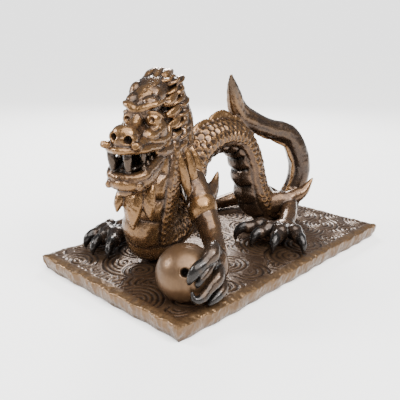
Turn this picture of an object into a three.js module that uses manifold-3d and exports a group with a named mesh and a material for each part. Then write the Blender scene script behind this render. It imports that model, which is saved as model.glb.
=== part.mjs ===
// A glazed clay dragon on a slab: a long scaled body that rears up at the chest, arches over,
// settles on its haunches and sends the tail up and forward over the back. One forefoot
// clutches a pearl. Millimetres, +Z up, +X the way the dragon faces, +Y its left side.
// The origin is the centre of the slab's underside.
import * as THREE from "three";
import { mergeVertices } from "three/addons/utils/BufferGeometryUtils.js";
import Module from "manifold-3d";

const wasm = await Module();
wasm.setup();

// ---- Driving dimensions ----
const PLINTH_LENGTH = 300;
const PLINTH_WIDTH = 177;
const PLINTH_THICKNESS = 14;
const FIT_GAP = 0.3; // between pieces that touch
const PLATE_PITCH = 17; // belly plates, along the body
const PEARL_RADIUS = 22.3;
const PEARL_VENT_RADIUS = 3;

const { sin, cos, PI, abs, min, max, hypot } = Math;
const vec = (x, y, z) => new THREE.Vector3(x, y, z);

// ---- Turning three.js geometry into solids and back ----

// A closed three.js geometry as a manifold-3d solid.
function solidFrom(geometry) {
  const bare = geometry.clone();
  bare.deleteAttribute("normal");
  bare.deleteAttribute("uv");
  const merged = mergeVertices(bare, 1e-4);
  const made = new wasm.Manifold(
    new wasm.Mesh({
      numProp: 3,
      vertProperties: new Float32Array(merged.attributes.position.array),
      triVerts: new Uint32Array(merged.index.array),
    }),
  );
  if (made.volume() < 0) throw new Error("a shape is inside out");
  return made;
}

function geometryFrom(solid) {
  const mesh = solid.getMesh();
  const geometry = new THREE.BufferGeometry();
  const corners = new THREE.BufferAttribute(mesh.vertProperties, mesh.numProp);
  geometry.setAttribute("position", corners);
  geometry.setIndex(new THREE.BufferAttribute(mesh.triVerts, 1));
  return geometry.toNonIndexed();
}

function joined(solids) {
  return solids.reduce((whole, piece) => whole.add(piece));
}

// ---- Shape makers ----

// A smooth run through rows of numbers, at t from 0 to rows.length - 1.
function smoothRow(rows, t) {
  const i = min(Math.floor(t), rows.length - 2);
  const u = t - i;
  const at = (k) => rows[min(max(k, 0), rows.length - 1)];
  const [a, b, c, d] = [at(i - 1), at(i), at(i + 1), at(i + 2)];
  return b.map(
    (v, k) =>
      v +
      0.5 * u * (c[k] - a[k]) +
      u * u * (a[k] - 2.5 * v + 2 * c[k] - 0.5 * d[k]) +
      u * u * u * (1.5 * (v - c[k]) + 0.5 * (d[k] - a[k])),
  );
}

// Rings of points become one closed skin, with a pole at each end.
function skin(rings, startPole, endPole) {
  const sides = rings[0].length;
  const points = [startPole, ...rings.flat(), endPole];
  const last = points.length - 1;
  const faces = [];
  const corner = (ring, side) => 1 + ring * sides + (side % sides);
  for (let s = 0; s < sides; s++) {
    faces.push(0, corner(0, s + 1), corner(0, s));
    faces.push(last, corner(rings.length - 1, s), corner(rings.length - 1, s + 1));
    for (let r = 0; r < rings.length - 1; r++) {
      faces.push(corner(r, s), corner(r, s + 1), corner(r + 1, s + 1));
      faces.push(corner(r, s), corner(r + 1, s + 1), corner(r + 1, s));
    }
  }
  const geometry = new THREE.BufferGeometry();
  const flat = points.flatMap((p) => [p.x, p.y, p.z]);
  geometry.setAttribute("position", new THREE.Float32BufferAttribute(flat, 3));
  geometry.setIndex(faces);
  return geometry;
}

// A tapering limb through stations [x, y, z, half width, half height]. The half height is
// measured towards `outward`, a direction or a function of the running direction.
// A blunt limb has rounded ends.
function limb(stations, outward, { rings = 1, sides = 7, blunt = 0 } = {}) {
  const spans = stations.length - 1;
  const count = spans * rings;
  const loops = [];
  const placeOf = (t) => vec(...smoothRow(stations, t).slice(0, 3));
  const ringAt = (t, shift, shrink) => {
    const [x, y, z, w, h] = smoothRow(stations, t);
    const ahead = placeOf(min(t + 0.05, spans)).sub(placeOf(max(t - 0.05, 0))).normalize();
    const wanted = typeof outward === "function" ? outward(ahead) : outward.clone();
    const up = wanted.addScaledVector(ahead, -wanted.dot(ahead)).normalize();
    const side = vec(0, 0, 0).crossVectors(ahead, up);
    const loop = [];
    for (let s = 0; s < sides; s++) {
      const angle = (2 * PI * s) / sides;
      loop.push(
        vec(x, y, z)
          .addScaledVector(ahead, shift * min(w, h))
          .addScaledVector(up, cos(angle) * max(h, 0.3) * shrink)
          .addScaledVector(side, sin(angle) * max(w, 0.3) * shrink),
      );
    }
    const pole = vec(x, y, z).addScaledVector(ahead, shift * min(w, h) * 1.4);
    return { loop, pole };
  };
  if (blunt) loops.push(ringAt(0, -0.7, 0.6).loop);
  for (let k = 0; k <= count; k++) loops.push(ringAt((spans * k) / count, 0, 1).loop);
  if (blunt) loops.push(ringAt(spans, 0.7, 0.6).loop);
  const start = ringAt(0, blunt ? -0.7 : -0.2, 1).pole;
  const end = ringAt(spans, blunt ? 0.7 : 0.2, 1).pole;
  return solidFrom(skin(loops, start, end));
}

// An egg: a sphere stretched to three radii, leaning about the Y axis, at `centre`.
function egg(centre, radii, detail, lean = 0) {
  const geometry = new THREE.SphereGeometry(1, ...detail);
  geometry.rotateX(PI / 2);
  geometry.scale(...radii);
  geometry.rotateY(lean);
  geometry.translate(...centre);
  return solidFrom(geometry);
}

// ---- The body: one tube from the throat to the tail's tip ----

// [x, y, height above the slab, half width, half depth] down the neck, under the chest, up
// and over the back, down to the haunches, and round into the raised tail.
const SPINE = [
  [80, -2, 112, 15, 20],
  [86, 0, 96, 17, 22],
  [92, 2, 78, 18.5, 21.5],
  [95, 1, 60, 19, 22.5],
  [97, -1, 42, 19, 22],
  [94, -6, 28, 20, 21],
  [78, -11, 22, 20, 23],
  [61, -13, 25, 18, 21],
  [49, -13, 38, 16.5, 18],
  [45.5, -11, 56, 16, 17],
  [41, -10, 76, 16, 15.5],
  [29, -11, 92, 16, 15.5],
  [2, -13, 99, 16.5, 15.5],
  [-25, -12, 92, 16.5, 16],
  [-39, -10, 71, 17, 16.5],
  [-44, -8, 50, 17, 17],
  [-52, -6, 29, 18, 18],
  [-70, -3, 14, 18, 15],
  [-92, 4, 13, 14, 12],
  [-106, 8, 33, 12, 11.5],
  [-110, 9, 60, 12, 11.5],
  [-96, 3, 90, 10.5, 11],
  [-65, -8, 102, 9, 9.5],
  [-36, -16, 117, 8.5, 10.5],
  [-19, -12, 138, 5.5, 7.5],
  [-9.5, -7.5, 155, 1.2, 1.5],
];
const TAIL_ROOT = 19; // station where the belly plates end and the smooth tail begins
const PLATE_HALF_ANGLE = 0.95; // how far round the belly a plate reaches
const PLATE_STEP = 0.09; // how proud of the next plate each one ends, per half depth
const BODY_SIDES = 10;

// The back of the body lies to the left of its running direction, seen from the dragon's left.
const backOf = (ahead) => vec(0, 1, 0).cross(ahead);

function spineAt(t) {
  const [x, y, z, w, h] = smoothRow(SPINE, t);
  const before = smoothRow(SPINE, max(t - 0.05, 0));
  const after = smoothRow(SPINE, min(t + 0.05, SPINE.length - 1));
  const ahead = vec(after[0] - before[0], after[1] - before[1], after[2] - before[2]);
  ahead.normalize();
  return { place: vec(x, y, z), ahead, back: backOf(ahead).normalize(), w, h };
}

// RUN[k] is the length of the body up to station k / SPINE_STEPS.
const SPINE_STEPS = 20;
const RUN = [0];
for (let k = 1; k <= (SPINE.length - 1) * SPINE_STEPS; k++) {
  const gap = spineAt(k / SPINE_STEPS).place.distanceTo(spineAt((k - 1) / SPINE_STEPS).place);
  RUN.push(RUN[k - 1] + gap);
}
const runTo = (station) => RUN[Math.round(station * SPINE_STEPS)];

// The station that lies a given length along the body.
function stationAt(length) {
  const k = RUN.findIndex((run) => run >= length);
  if (k <= 0) return k === 0 ? 0 : SPINE.length - 1;
  return (k - 1 + (length - RUN[k - 1]) / (RUN[k] - RUN[k - 1])) / SPINE_STEPS;
}

function bodyRing(t, belly) {
  const { place, ahead, back, w, h } = spineAt(t);
  const side = vec(0, 0, 0).crossVectors(ahead, back);
  return Array.from({ length: BODY_SIDES }, (_, s) => {
    const angle = (2 * PI * s) / BODY_SIDES;
    const reach = abs(angle - PI) < PLATE_HALF_ANGLE ? belly : 1;
    return place
      .clone()
      .addScaledVector(back, cos(angle) * h * reach)
      .addScaledVector(side, sin(angle) * w * reach);
  });
}

// Overlapping belly plates: each starts low and ends proud of the next.
function body() {
  const loops = [];
  const plated = runTo(TAIL_ROOT);
  const plates = Math.round(plated / PLATE_PITCH);
  for (let k = 0; k < plates; k++) {
    loops.push(bodyRing(stationAt(((k + 0.02) * plated) / plates), 1 - PLATE_STEP));
    loops.push(bodyRing(stationAt(((k + 0.9) * plated) / plates), 1 + PLATE_STEP / 3));
  }
  for (let t = TAIL_ROOT; t <= SPINE.length - 1; t += 0.5) loops.push(bodyRing(t, 1));
  const tip = spineAt(SPINE.length - 1);
  return solidFrom(skin(loops, spineAt(0).place, tip.place.addScaledVector(tip.ahead, 2)));
}

// The crest: a scalloped fin along the back between two stations.
const CREST_LOBE = 27; // length of one scallop
const CREST_SINK = 0.72; // how deep its root sits, as a share of the body's half depth

function crest(from, to, height, thickness) {
  const length = runTo(to) - runTo(from);
  const lobes = Math.round(length / CREST_LOBE);
  const steps = lobes * 4;
  const rows = [];
  for (let k = 0; k <= steps; k++) {
    const { place, back, h } = spineAt(stationAt(runTo(from) + (length * k) / steps));
    const swell = 0.35 + 0.65 * abs(sin((PI * k * lobes) / steps)) ** 0.7;
    const ends = min(1, (3 * min(k, steps - k)) / steps + 0.25);
    const low = h * CREST_SINK;
    const high = h + height * swell * ends;
    const middle = place.addScaledVector(back, (low + high) / 2);
    rows.push([middle.x, middle.y, middle.z, thickness, (high - low) / 2]);
  }
  return limb(rows, backOf, { sides: 4 });
}

// ---- Legs and feet ----

const UP = vec(0, 0, 1);
const FORWARD = vec(1, 0, 0);

// A toe from the foot's core over its knuckle to a claw tip, which touches the slab.
function toe(core, tip, knuckleHeight, girth) {
  const from = vec(...core);
  const to = vec(...tip);
  const along = (share, height, radius) => {
    const p = from.clone().lerp(to, share);
    return [p.x, p.y, height, radius, radius];
  };
  const top = knuckleHeight - girth;
  return limb(
    [
      [...core, girth, girth],
      along(0.5, top, girth * 1.15),
      along(0.74, top * 0.92, girth * 0.8),
      along(0.94, top * 0.55, girth * 0.55),
      [...tip, 0.7, 0.7],
    ],
    UP,
    { sides: 5 },
  );
}

function foot({ core, palm, tips, heel, knuckleHeight, girth }) {
  const toes = tips.map((tip) => toe(core, tip, knuckleHeight, girth));
  const hallux = limb([[...core, 5, 4], [...heel, 3, 2.4]], UP, { sides: 5, blunt: 1 });
  return joined([egg(core, palm, [8, 5]), ...toes, hallux]);
}

// The right foreleg: a full upper arm with a long flame-like spur behind the elbow.
function rightForeleg() {
  return joined([
    limb([[50, -13, 82, 10, 9], [53, -18, 68, 12, 11], [50, -25, 54, 13, 12]], FORWARD, {
      blunt: 1,
    }),
    egg([47, -27, 50], [14, 10.5, 13.5], [8, 5]),
    limb(
      [
        [50, -28, 53, 9, 13],
        [32, -31, 58, 8, 11],
        [16, -34, 65, 6.5, 7.5],
        [5, -36, 74, 4, 4.4],
        [-2, -37.5, 82, 0.8, 0.8],
      ],
      UP,
    ),
    limb([[50, -30, 46, 9, 9], [54, -42, 28, 7, 7.5], [62, -61, 9, 7, 7]], FORWARD),
    foot({
      core: [72, -66, 11],
      palm: [15, 11, 9],
      tips: [[96, -80, 0], [113, -72, 0], [118, -54, 0], [114, -37, 0]],
      heel: [53, -74, 2],
      knuckleHeight: 18.5,
      girth: 5.6,
    }),
  ]);
}

// The left foreleg reaches down and forward, and its toes wrap round the pearl.
function leftForeleg() {
  const out = vec(-0.5, 0.8, 0.4);
  const finger = (rows) => limb(rows, out, { sides: 6 });
  return joined([
    limb([[50, -6, 84, 10, 9], [57, 8, 72, 11, 11], [62, 22, 58, 12, 12]], FORWARD, {
      blunt: 1,
    }),
    egg([62, 27, 52], [11.5, 10, 13], [8, 5]),
    limb(
      [
        [62, 27, 56, 7, 10],
        [52, 25, 61, 6.5, 8],
        [43, 22, 67, 4, 5],
        [37, 20, 76, 0.8, 0.8],
      ],
      UP,
    ),
    limb(
      [
        [63, 29, 48, 9.5, 9.5],
        [68, 40, 38, 8.5, 8.5],
        [76, 52, 30, 8, 8],
        [88, 64, 26, 9.5, 9],
      ],
      FORWARD,
    ),
    egg([91, 68, 19], [11, 9, 15], [8, 6]),
    finger([
      [90, 66, 28, 6, 6],
      [103, 75, 36, 6, 6],
      [114, 79.5, 34.5, 5.4, 5.4],
      [122, 79, 30, 4.4, 4.4],
      [128.5, 75.5, 19, 0.8, 0.8],
    ]),
    finger([
      [92, 70, 22, 6, 6],
      [106, 80.5, 27.5, 5.2, 5.2],
      [118, 82, 24, 4.4, 4.4],
      [126, 78, 15, 0.8, 0.8],
    ]),
    finger([
      [91, 71, 12, 6, 6],
      [102, 81, 17.5, 5.4, 5.4],
      [114, 82.5, 13, 5, 5],
      [123, 80, 8, 3.6, 3.6],
      [127, 76, 14, 0.8, 0.8],
    ]),
    toe([88, 71, 9], [111, 85, 0], 14, 4.6),
  ]);
}

// The right hind leg lies along the slab, its hock far back with a spur that touches down.
function rightHindleg() {
  return joined([
    limb([[-68, -8, 15, 13, 12], [-90, -20, 17, 12, 12], [-110, -33, 17, 9, 9.5]], UP, {
      blunt: 1,
    }),
    limb([[-111, -34, 18, 8, 8.5], [-125, -27, 12, 5.5, 5.5], [-133, -17, 1, 0.8, 0.8]], UP),
    limb(
      [
        [-113, -35, 18, 9, 8.5],
        [-97, -48, 14, 8.5, 9],
        [-76, -60, 9.5, 8, 8],
        [-56, -65, 8, 7.5, 6.5],
        [-42, -63, 9, 8, 7],
      ],
      UP,
      { blunt: 1 },
    ),
    foot({
      core: [-34, -61, 11],
      palm: [15, 12, 10],
      tips: [[-12, -76, 0], [8, -75, 0], [13, -58, 0], [4, -44, 0]],
      heel: [-50, -79, 2],
      knuckleHeight: 22,
      girth: 5.8,
    }),
  ]);
}

// The left hind leg is drawn up, its spur raised behind the hock and its foot out to the side.
function leftHindleg() {
  return joined([
    limb([[-60, -2, 18, 13, 12], [-68, 10, 24, 12, 12], [-76, 20, 26, 10, 10.5]], UP, {
      blunt: 1,
    }),
    limb([[-76, 21, 28, 8, 9], [-91, 28, 35, 6, 6], [-101, 33, 49, 0.8, 0.8]], UP),
    limb([[-76, 21, 24, 9, 9], [-62, 31, 17, 8.5, 8], [-46, 39, 12, 8, 8]], UP, { blunt: 1 }),
    foot({
      core: [-38, 43, 11],
      palm: [12, 14, 9],
      tips: [[-2, 11, 0], [2, 34, 0], [2, 58, 0], [-17, 78, 0]],
      heel: [-56, 56, 2],
      knuckleHeight: 20,
      girth: 5.6,
    }),
  ]);
}

// ---- The head ----

const HEAD_PLACE = [110, 4.5, 125]; // between the eyes
const HEAD_TURN = 26; // degrees towards the dragon's left

// Left-right pairs are made once for side 1 (left) and side -1 (right).
const bothSides = (make) => [make(1), make(-1)];

// A fold of the head through stations [forward, left, up, half width, half height].
const fold = (rows, options = {}) => limb(rows, UP, { sides: 4, ...options });
const ROUNDER = { sides: 5 };

function skull() {
  const dome = fold(
    [
      [3, 0, 3, 10.5, 7],
      [-8, 0, 10, 13, 9.5],
      [-22, 0, 17, 14, 12],
      [-37, 0, 22, 12, 12],
      [-48, 0, 24, 8, 10],
    ],
    { sides: 8, blunt: 1 },
  );
  const muzzle = fold(
    [
      [-10, 0, -10, 14, 12],
      [6, 0, -9, 12, 9],
      [17, 0, -11, 10, 7],
      [27, 0, -9.5, 9.5, 9],
      [33, 0, -13, 7.5, 5],
    ],
    { sides: 8, blunt: 1 },
  );
  return joined([dome, muzzle, egg([-14, 0, -10], [19, 15, 24], [8, 5])]);
}

// A rim that runs from one cheek round the front to the other, flaring at its corners.
function lipRim(half, front, flareRoot, flareTip) {
  const mirrored = half.map(([f, l, ...rest]) => [f, -l, ...rest]).reverse();
  const flare = (side) => {
    const [root, tip] = [flareRoot, flareTip].map(([f, l, ...rest]) => [f, l * side, ...rest]);
    return fold([root, tip]);
  };
  return joined([fold([...half, front, ...mirrored], ROUNDER), ...bothSides(flare)]);
}

function upperLip() {
  const half = [
    [-8, 15, -15, 3.4, 4],
    [5, 14.5, -18, 3.4, 4],
    [17, 12, -19.5, 3.4, 4],
    [28, 10, -17, 4, 4],
  ];
  return lipRim(half, [35, 0, -16.5, 4, 3.6], [26, 8, -16, 4.4, 3.6], [37.5, 12, -11.5, 1, 1]);
}

function jaw() {
  const half = [
    [-8, 13, -27, 3.4, 4],
    [5, 13, -33, 3.4, 4],
    [17, 11.5, -39, 3.4, 3.6],
    [26, 9.5, -43, 3.6, 3],
  ];
  const floor = fold(
    [[-14, 0, -35, 14, 8], [4, 0, -41, 13, 6], [19, 0, -46, 10, 4.6], [29, 0, -48, 6.5, 3.4]],
    { sides: 8, blunt: 1 },
  );
  const tongue = fold(
    [[-8, 0, -33, 8, 4], [10, 0, -36, 7, 3.4], [23, 0, -40, 4, 2.4]],
    { blunt: 1 },
  );
  const rim = lipRim(half, [31, 0, -46.5, 3.6, 3], [22, 8, -42, 4, 3], [31.5, 12, -45.5, 1, 1]);
  return joined([rim, floor, tongue]);
}

function face() {
  const brow = (side) =>
    fold([
      [4, side, 5, 4, 4],
      [5, 6 * side, 7.5, 4, 3.8],
      [3.5, 10.5 * side, 9.5, 2.6, 2.6],
      [-9, 14.5 * side, 13, 1, 1],
    ]);
  const eye = (side) => egg([-0.5, 8.4 * side, -1], [5.6, 5.6, 5.6], [8, 5]);
  const cheekFold = (side) =>
    fold([
      [9, 3 * side, -2, 2, 2],
      [12, 8.5 * side, -7, 2.6, 2.6],
      [0, 14.5 * side, -11, 3, 2.6],
      [-12, 16 * side, -6, 1, 1],
    ]);
  const nostrilWing = (side) => egg([28, 4.6 * side, -7], [6, 4.6, 5.6], [7, 5]);
  const fang = (side) =>
    fold(
      [[27, 9 * side, -16, 3.2, 3.2], [27.5, 9.5 * side, -27, 2.9, 2.9], [25, 8 * side, -37, 0.6, 0.6]],
      ROUNDER,
    );
  return joined([brow, eye, cheekFold, nostrilWing, fang].flatMap(bothSides));
}

// Horns swept back over the head, with ears, cheek leaves and a fan of locks below them.
function mane() {
  const horn = (side) =>
    fold([[-14, 6 * side, 20, 5, 5], [-30, 7 * side, 29, 5, 5], [-50, 6 * side, 34, 1.6, 1.8]]);
  const ear = (side) =>
    fold([[-15, 10 * side, 3, 3, 4], [-26, 17 * side, 10, 3, 5], [-36, 18 * side, 20, 0.8, 0.8]]);
  const leaf = (side) =>
    fold([[-2, 14 * side, -20, 3, 4], [-12, 17 * side, -21, 3, 4.6], [-24, 19 * side, -14, 0.8, 0.8]]);
  const cheekLock = (side, lean) => {
    const at = (share, out, w, h) => [
      -26 + 25 * share * cos(lean),
      (10 + out) * side,
      -9 + 25 * share * sin(lean),
      w,
      h,
    ];
    return fold([at(0.1, 3, 4.5, 4.5), at(0.6, 5, 4.2, 4.2), at(1.05, 2, 0.8, 0.8)]);
  };
  const fan = (side) => joined([-2.7, -2.0, -1.3].map((lean) => cheekLock(side, lean)));
  return joined([horn, ear, leaf, fan].flatMap(bothSides));
}

function head() {
  const whole = joined([skull(), upperLip(), jaw(), face(), mane()]);
  const nostril = (side) => egg([33.5, 4.8 * side, -7.5], [6, 2.4, 2.4], [5, 4]);
  return whole
    .subtract(joined(bothSides(nostril)))
    .rotate([0, 0, HEAD_TURN])
    .translate(HEAD_PLACE);
}

// The thick nape under the mane, its long locks down the back, and the beard on the throat.
function neckLocks() {
  const nape = limb(
    [[74, -9, 146, 11, 16], [73, -8, 126, 13, 23], [77, -5, 105, 15, 25], [74, -5, 86, 15, 23]],
    FORWARD,
    { blunt: 1 },
  );
  const cape = limb(
    [
      [63, -14, 152, 6, 8],
      [56, -18, 138, 5.5, 9],
      [49, -20, 121, 6, 10],
      [48, -17, 104, 9, 10],
      [50, -13, 87, 11, 8],
    ],
    backOf,
    { sides: 7, blunt: 1 },
  );
  const beardLock = (root, tip, width) => {
    const middle = root.map((v, k) => (v + tip[k]) / 2);
    middle[0] += 3; // the lock bows forward
    const rows = [[...root, width * 0.8, 4], [...middle, width, 5], [...tip, 0.9, 0.9]];
    return limb(rows, FORWARD, { sides: 6 });
  };
  return joined([
    nape,
    cape,
    beardLock([112, 6, 72], [121, 10, 41], 10),
    beardLock([109, -4, 74], [128, -3, 53], 5),
    beardLock([108, 15, 74], [113, 22, 47], 8),
  ]);
}

// ---- Pearl and slab ----

const PEARL_PLACE = [113.5, 57.5, 18]; // its middle, lower than its radius: it stands on a flat
const PEARL_VENT = vec(0.65, 0.63, 0.43).normalize(); // the way its firing vent faces

function pearl(radius) {
  const ball = new THREE.SphereGeometry(radius, 16, 10);
  ball.rotateX(PI / 2);
  ball.translate(...PEARL_PLACE);
  return solidFrom(ball);
}

function ventedPearl() {
  const vent = new THREE.CylinderGeometry(PEARL_VENT_RADIUS, PEARL_VENT_RADIUS, 10, 10);
  vent.applyQuaternion(new THREE.Quaternion().setFromUnitVectors(vec(0, 1, 0), PEARL_VENT));
  const mouth = vec(...PEARL_PLACE).addScaledVector(PEARL_VENT, PEARL_RADIUS);
  vent.translate(mouth.x, mouth.y, mouth.z);
  return pearl(PEARL_RADIUS).subtract(solidFrom(vent));
}

// Everything above the slab's top face, less the gap that touching pieces keep.
function aboveSlab(solid) {
  return solid.trimByPlane([0, 0, 1], FIT_GAP);
}

// The slab, hand cut: its edge wavers, and shallow ripples are pressed into its top.
function plinth() {
  const outline = new THREE.Shape();
  const halfLength = PLINTH_LENGTH / 2;
  const halfWidth = PLINTH_WIDTH / 2;
  const waver = (t, seed) => -0.9 - 0.9 * sin(t * 9 + seed) * cos(t * 4.3 + 2 * seed);
  const edge = (from, to, steps, seed) => {
    for (let k = 0; k < steps; k++) {
      const t = k / steps;
      const x = from[0] + (to[0] - from[0]) * t;
      const y = from[1] + (to[1] - from[1]) * t;
      const inset = k === 0 ? 0 : waver(t, seed);
      const outX = abs(to[0] - from[0]) > abs(to[1] - from[1]) ? 0 : Math.sign(x);
      const outY = outX ? 0 : Math.sign(y);
      outline.lineTo(x + outX * inset, y + outY * inset);
    }
  };
  outline.moveTo(-halfLength, -halfWidth);
  edge([-halfLength, -halfWidth], [halfLength, -halfWidth], 14, 1);
  edge([halfLength, -halfWidth], [halfLength, halfWidth], 9, 2);
  edge([halfLength, halfWidth], [-halfLength, halfWidth], 14, 3);
  edge([-halfLength, halfWidth], [-halfLength, -halfWidth], 9, 4);
  const slab = new THREE.ExtrudeGeometry(outline, { depth: PLINTH_THICKNESS, bevelEnabled: false });
  return solidFrom(slab);
}

// ---- The pieces as named meshes ----

const GLAZE = new THREE.MeshStandardMaterial({ color: 0x7a5c3c, roughness: 0.35, metalness: 0.7 });
const SLAB_GLAZE = new THREE.MeshStandardMaterial({
  color: 0x5f4a36,
  roughness: 0.42,
  metalness: 0.6,
});
const PEARL_GLAZE = new THREE.MeshStandardMaterial({
  color: 0x8a6a4a,
  roughness: 0.3,
  metalness: 0.75,
});

function piece(name, solid, material, lift) {
  const mesh = new THREE.Mesh(geometryFrom(solid), material);
  mesh.name = name;
  mesh.position.z = lift;
  return mesh;
}

function dragon() {
  const whole = joined([
    body(),
    crest(10.6, 17.2, 9, 2.6),
    crest(18.2, 22.4, 3.5, 1.8),
    rightForeleg(),
    leftForeleg(),
    rightHindleg(),
    leftHindleg(),
    head(),
    neckLocks(),
  ]);
  return aboveSlab(whole.subtract(pearl(PEARL_RADIUS + FIT_GAP)));
}

const sculpture = new THREE.Group();
sculpture.add(piece("plinth", plinth(), SLAB_GLAZE, 0));
sculpture.add(piece("dragon", dragon(), GLAZE, PLINTH_THICKNESS));
sculpture.add(piece("pearl", aboveSlab(ventedPearl()), PEARL_GLAZE, PLINTH_THICKNESS));

export default sculpture;
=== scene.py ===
"""A glazed clay dragon on a slab of carved waves, with a pearl under its left forefoot.

The clay forms are built from stations along each limb, fused as clay is, scored and scaled,
and dressed in a lustre glaze that thins to gold on the high places and pools dark in the low;
the same colouring paints highlight on the ridges and shade in the hollows.
Lengths in the classes are millimetres, with the slab's top face at height 0. +X is the way the
dragon faces and +Y its left side.
"""

import logging
import math
from dataclasses import dataclass
from enum import Enum
from typing import Callable, Sequence

import bpy
import numpy as np
from mathutils import Matrix, Vector


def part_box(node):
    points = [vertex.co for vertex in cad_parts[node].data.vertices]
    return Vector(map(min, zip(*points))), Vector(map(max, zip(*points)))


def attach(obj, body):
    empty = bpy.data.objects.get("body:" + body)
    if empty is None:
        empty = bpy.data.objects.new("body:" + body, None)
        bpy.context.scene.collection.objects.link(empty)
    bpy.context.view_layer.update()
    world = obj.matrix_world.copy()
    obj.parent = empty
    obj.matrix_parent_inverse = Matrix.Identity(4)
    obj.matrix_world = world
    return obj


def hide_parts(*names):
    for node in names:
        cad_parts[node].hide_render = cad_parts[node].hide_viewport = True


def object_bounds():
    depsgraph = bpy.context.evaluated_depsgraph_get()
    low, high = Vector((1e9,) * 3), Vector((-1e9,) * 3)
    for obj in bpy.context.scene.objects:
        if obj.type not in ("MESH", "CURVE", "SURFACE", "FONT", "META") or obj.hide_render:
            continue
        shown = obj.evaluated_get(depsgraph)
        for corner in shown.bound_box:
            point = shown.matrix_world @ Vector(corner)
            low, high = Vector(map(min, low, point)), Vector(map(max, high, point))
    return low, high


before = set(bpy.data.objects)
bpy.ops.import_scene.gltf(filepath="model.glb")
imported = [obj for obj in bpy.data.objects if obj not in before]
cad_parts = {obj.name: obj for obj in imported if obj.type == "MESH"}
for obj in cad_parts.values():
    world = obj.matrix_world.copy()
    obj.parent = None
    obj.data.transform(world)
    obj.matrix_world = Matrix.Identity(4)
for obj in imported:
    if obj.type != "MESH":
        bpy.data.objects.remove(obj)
CAD_LOW, CAD_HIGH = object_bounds()

LOG = logging.getLogger("dragon")
MM = 0.001
SLAB_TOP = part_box("plinth")[1].z
TOUCH = 0.15  # how close to its neighbour a piece is laid, in mm
PEARL_PLACE = (113.5, 57.5, 18.0)
PEARL_RADIUS = 22.3

Row = Sequence[float]
Rows = tuple[Row, ...]
Lump = tuple[Row, Row]  # an egg's centre and its three radii
Outward = Sequence[float] | Callable[[np.ndarray], np.ndarray]
Relief = Callable[[np.ndarray, np.ndarray], np.ndarray]

FORWARD = (1.0, 0.0, 0.0)
UP = (0.0, 0.0, 1.0)


class Slot(Enum):
    """The record's material slots."""

    SLAB = "slab_glaze"
    DRAGON = "dragon_glaze"
    PEARL = "pearl_glaze"


class Tone(Enum):
    """How the firing coloured a place: (silvery, golden, sooty), each from 0 to 1."""

    PLAIN = (0.0, 0.0, 0.0)
    GOLD = (0.0, 1.0, 0.0)
    STEEL = (1.0, 0.0, 0.0)
    SOOT = (0.0, 0.0, 1.0)
    BRONZE = (0.0, 0.45, 0.0)
    PEWTER = (0.5, 0.0, 0.3)
    TOOTH = (0.75, 0.0, 0.0)
    MOTTLED = (0.0, 0.3, 0.35)


# ---- Nodes ----


def linear(code: str) -> tuple[float, float, float, float]:
    """Turns an sRGB colour into the linear colour that shaders take.

    Args:
        code: six hex digits, with or without a leading #.

    Returns:
        Red, green, blue and an alpha of 1.
    """
    parts = [int(code.lstrip("#")[k : k + 2], 16) / 255 for k in (0, 2, 4)]
    r, g, b = (c / 12.92 if c <= 0.04045 else ((c + 0.055) / 1.055) ** 2.4 for c in parts)
    return (r, g, b, 1.0)


def add_node(
    tree: bpy.types.NodeTree,
    kind: str,
    values: dict | None = None,
    links: dict | None = None,
    **settings: object,
) -> bpy.types.Node:
    """Adds one node with its settings, socket values and incoming links.

    Args:
        tree: the tree that gets the node.
        kind: the node's type name.
        values: socket values, by input name or index.
        links: output sockets to link from, by input name or index.
        settings: the node's own properties.

    Returns:
        The new node.
    """
    node = tree.nodes.new(kind)
    for name, value in settings.items():
        setattr(node, name, value)
    for name, value in (values or {}).items():
        node.inputs[name].default_value = value
    for name, output in (links or {}).items():
        tree.links.new(output, node.inputs[name])
    return node


def geometry_tree(name: str, inputs: dict[str, str]) -> tuple[bpy.types.NodeTree, bpy.types.Node]:
    """Starts a Geometry Nodes tree with a geometry input and named inputs.

    Args:
        name: the tree's name.
        inputs: socket type by input name.

    Returns:
        The tree and its group input node.
    """
    tree = bpy.data.node_groups.new(name, "GeometryNodeTree")
    tree.interface.new_socket("Geometry", in_out="INPUT", socket_type="NodeSocketGeometry")
    for label, kind in inputs.items():
        tree.interface.new_socket(label, in_out="INPUT", socket_type=kind)
    tree.interface.new_socket("Geometry", in_out="OUTPUT", socket_type="NodeSocketGeometry")
    return tree, add_node(tree, "NodeGroupInput")


def close_tree(
    tree: bpy.types.NodeTree, start: bpy.types.Node, geometry: bpy.types.NodeSocket
) -> None:
    """Ends a Geometry Nodes tree with Realize Instances and Set Material.

    Args:
        tree: the tree to end.
        start: its group input node, which has a Material input.
        geometry: the socket that holds the finished geometry.
    """
    real = add_node(tree, "GeometryNodeRealizeInstances", links={"Geometry": geometry})
    dressed = add_node(
        tree,
        "GeometryNodeSetMaterial",
        links={"Geometry": real.outputs[0], "Material": start.outputs["Material"]},
    )
    add_node(tree, "NodeGroupOutput", links={"Geometry": dressed.outputs[0]})


def run_tree(thing: bpy.types.Object, tree: bpy.types.NodeTree, **inputs: object) -> None:
    """Puts a Geometry Nodes tree on an object and sets its inputs by their identifiers.

    Args:
        thing: the object.
        tree: the tree.
        inputs: values by input name, with _ for a space.
    """
    modifier = thing.modifiers.new(tree.name, "NODES")
    modifier.node_group = tree
    sockets = {
        item.name: item.identifier
        for item in tree.interface.items_tree
        if item.item_type == "SOCKET" and item.in_out == "INPUT"
    }
    for name, value in inputs.items():
        modifier[sockets[name.replace("_", " ")]] = value


# ---- Shapes as arrays ----


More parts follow.
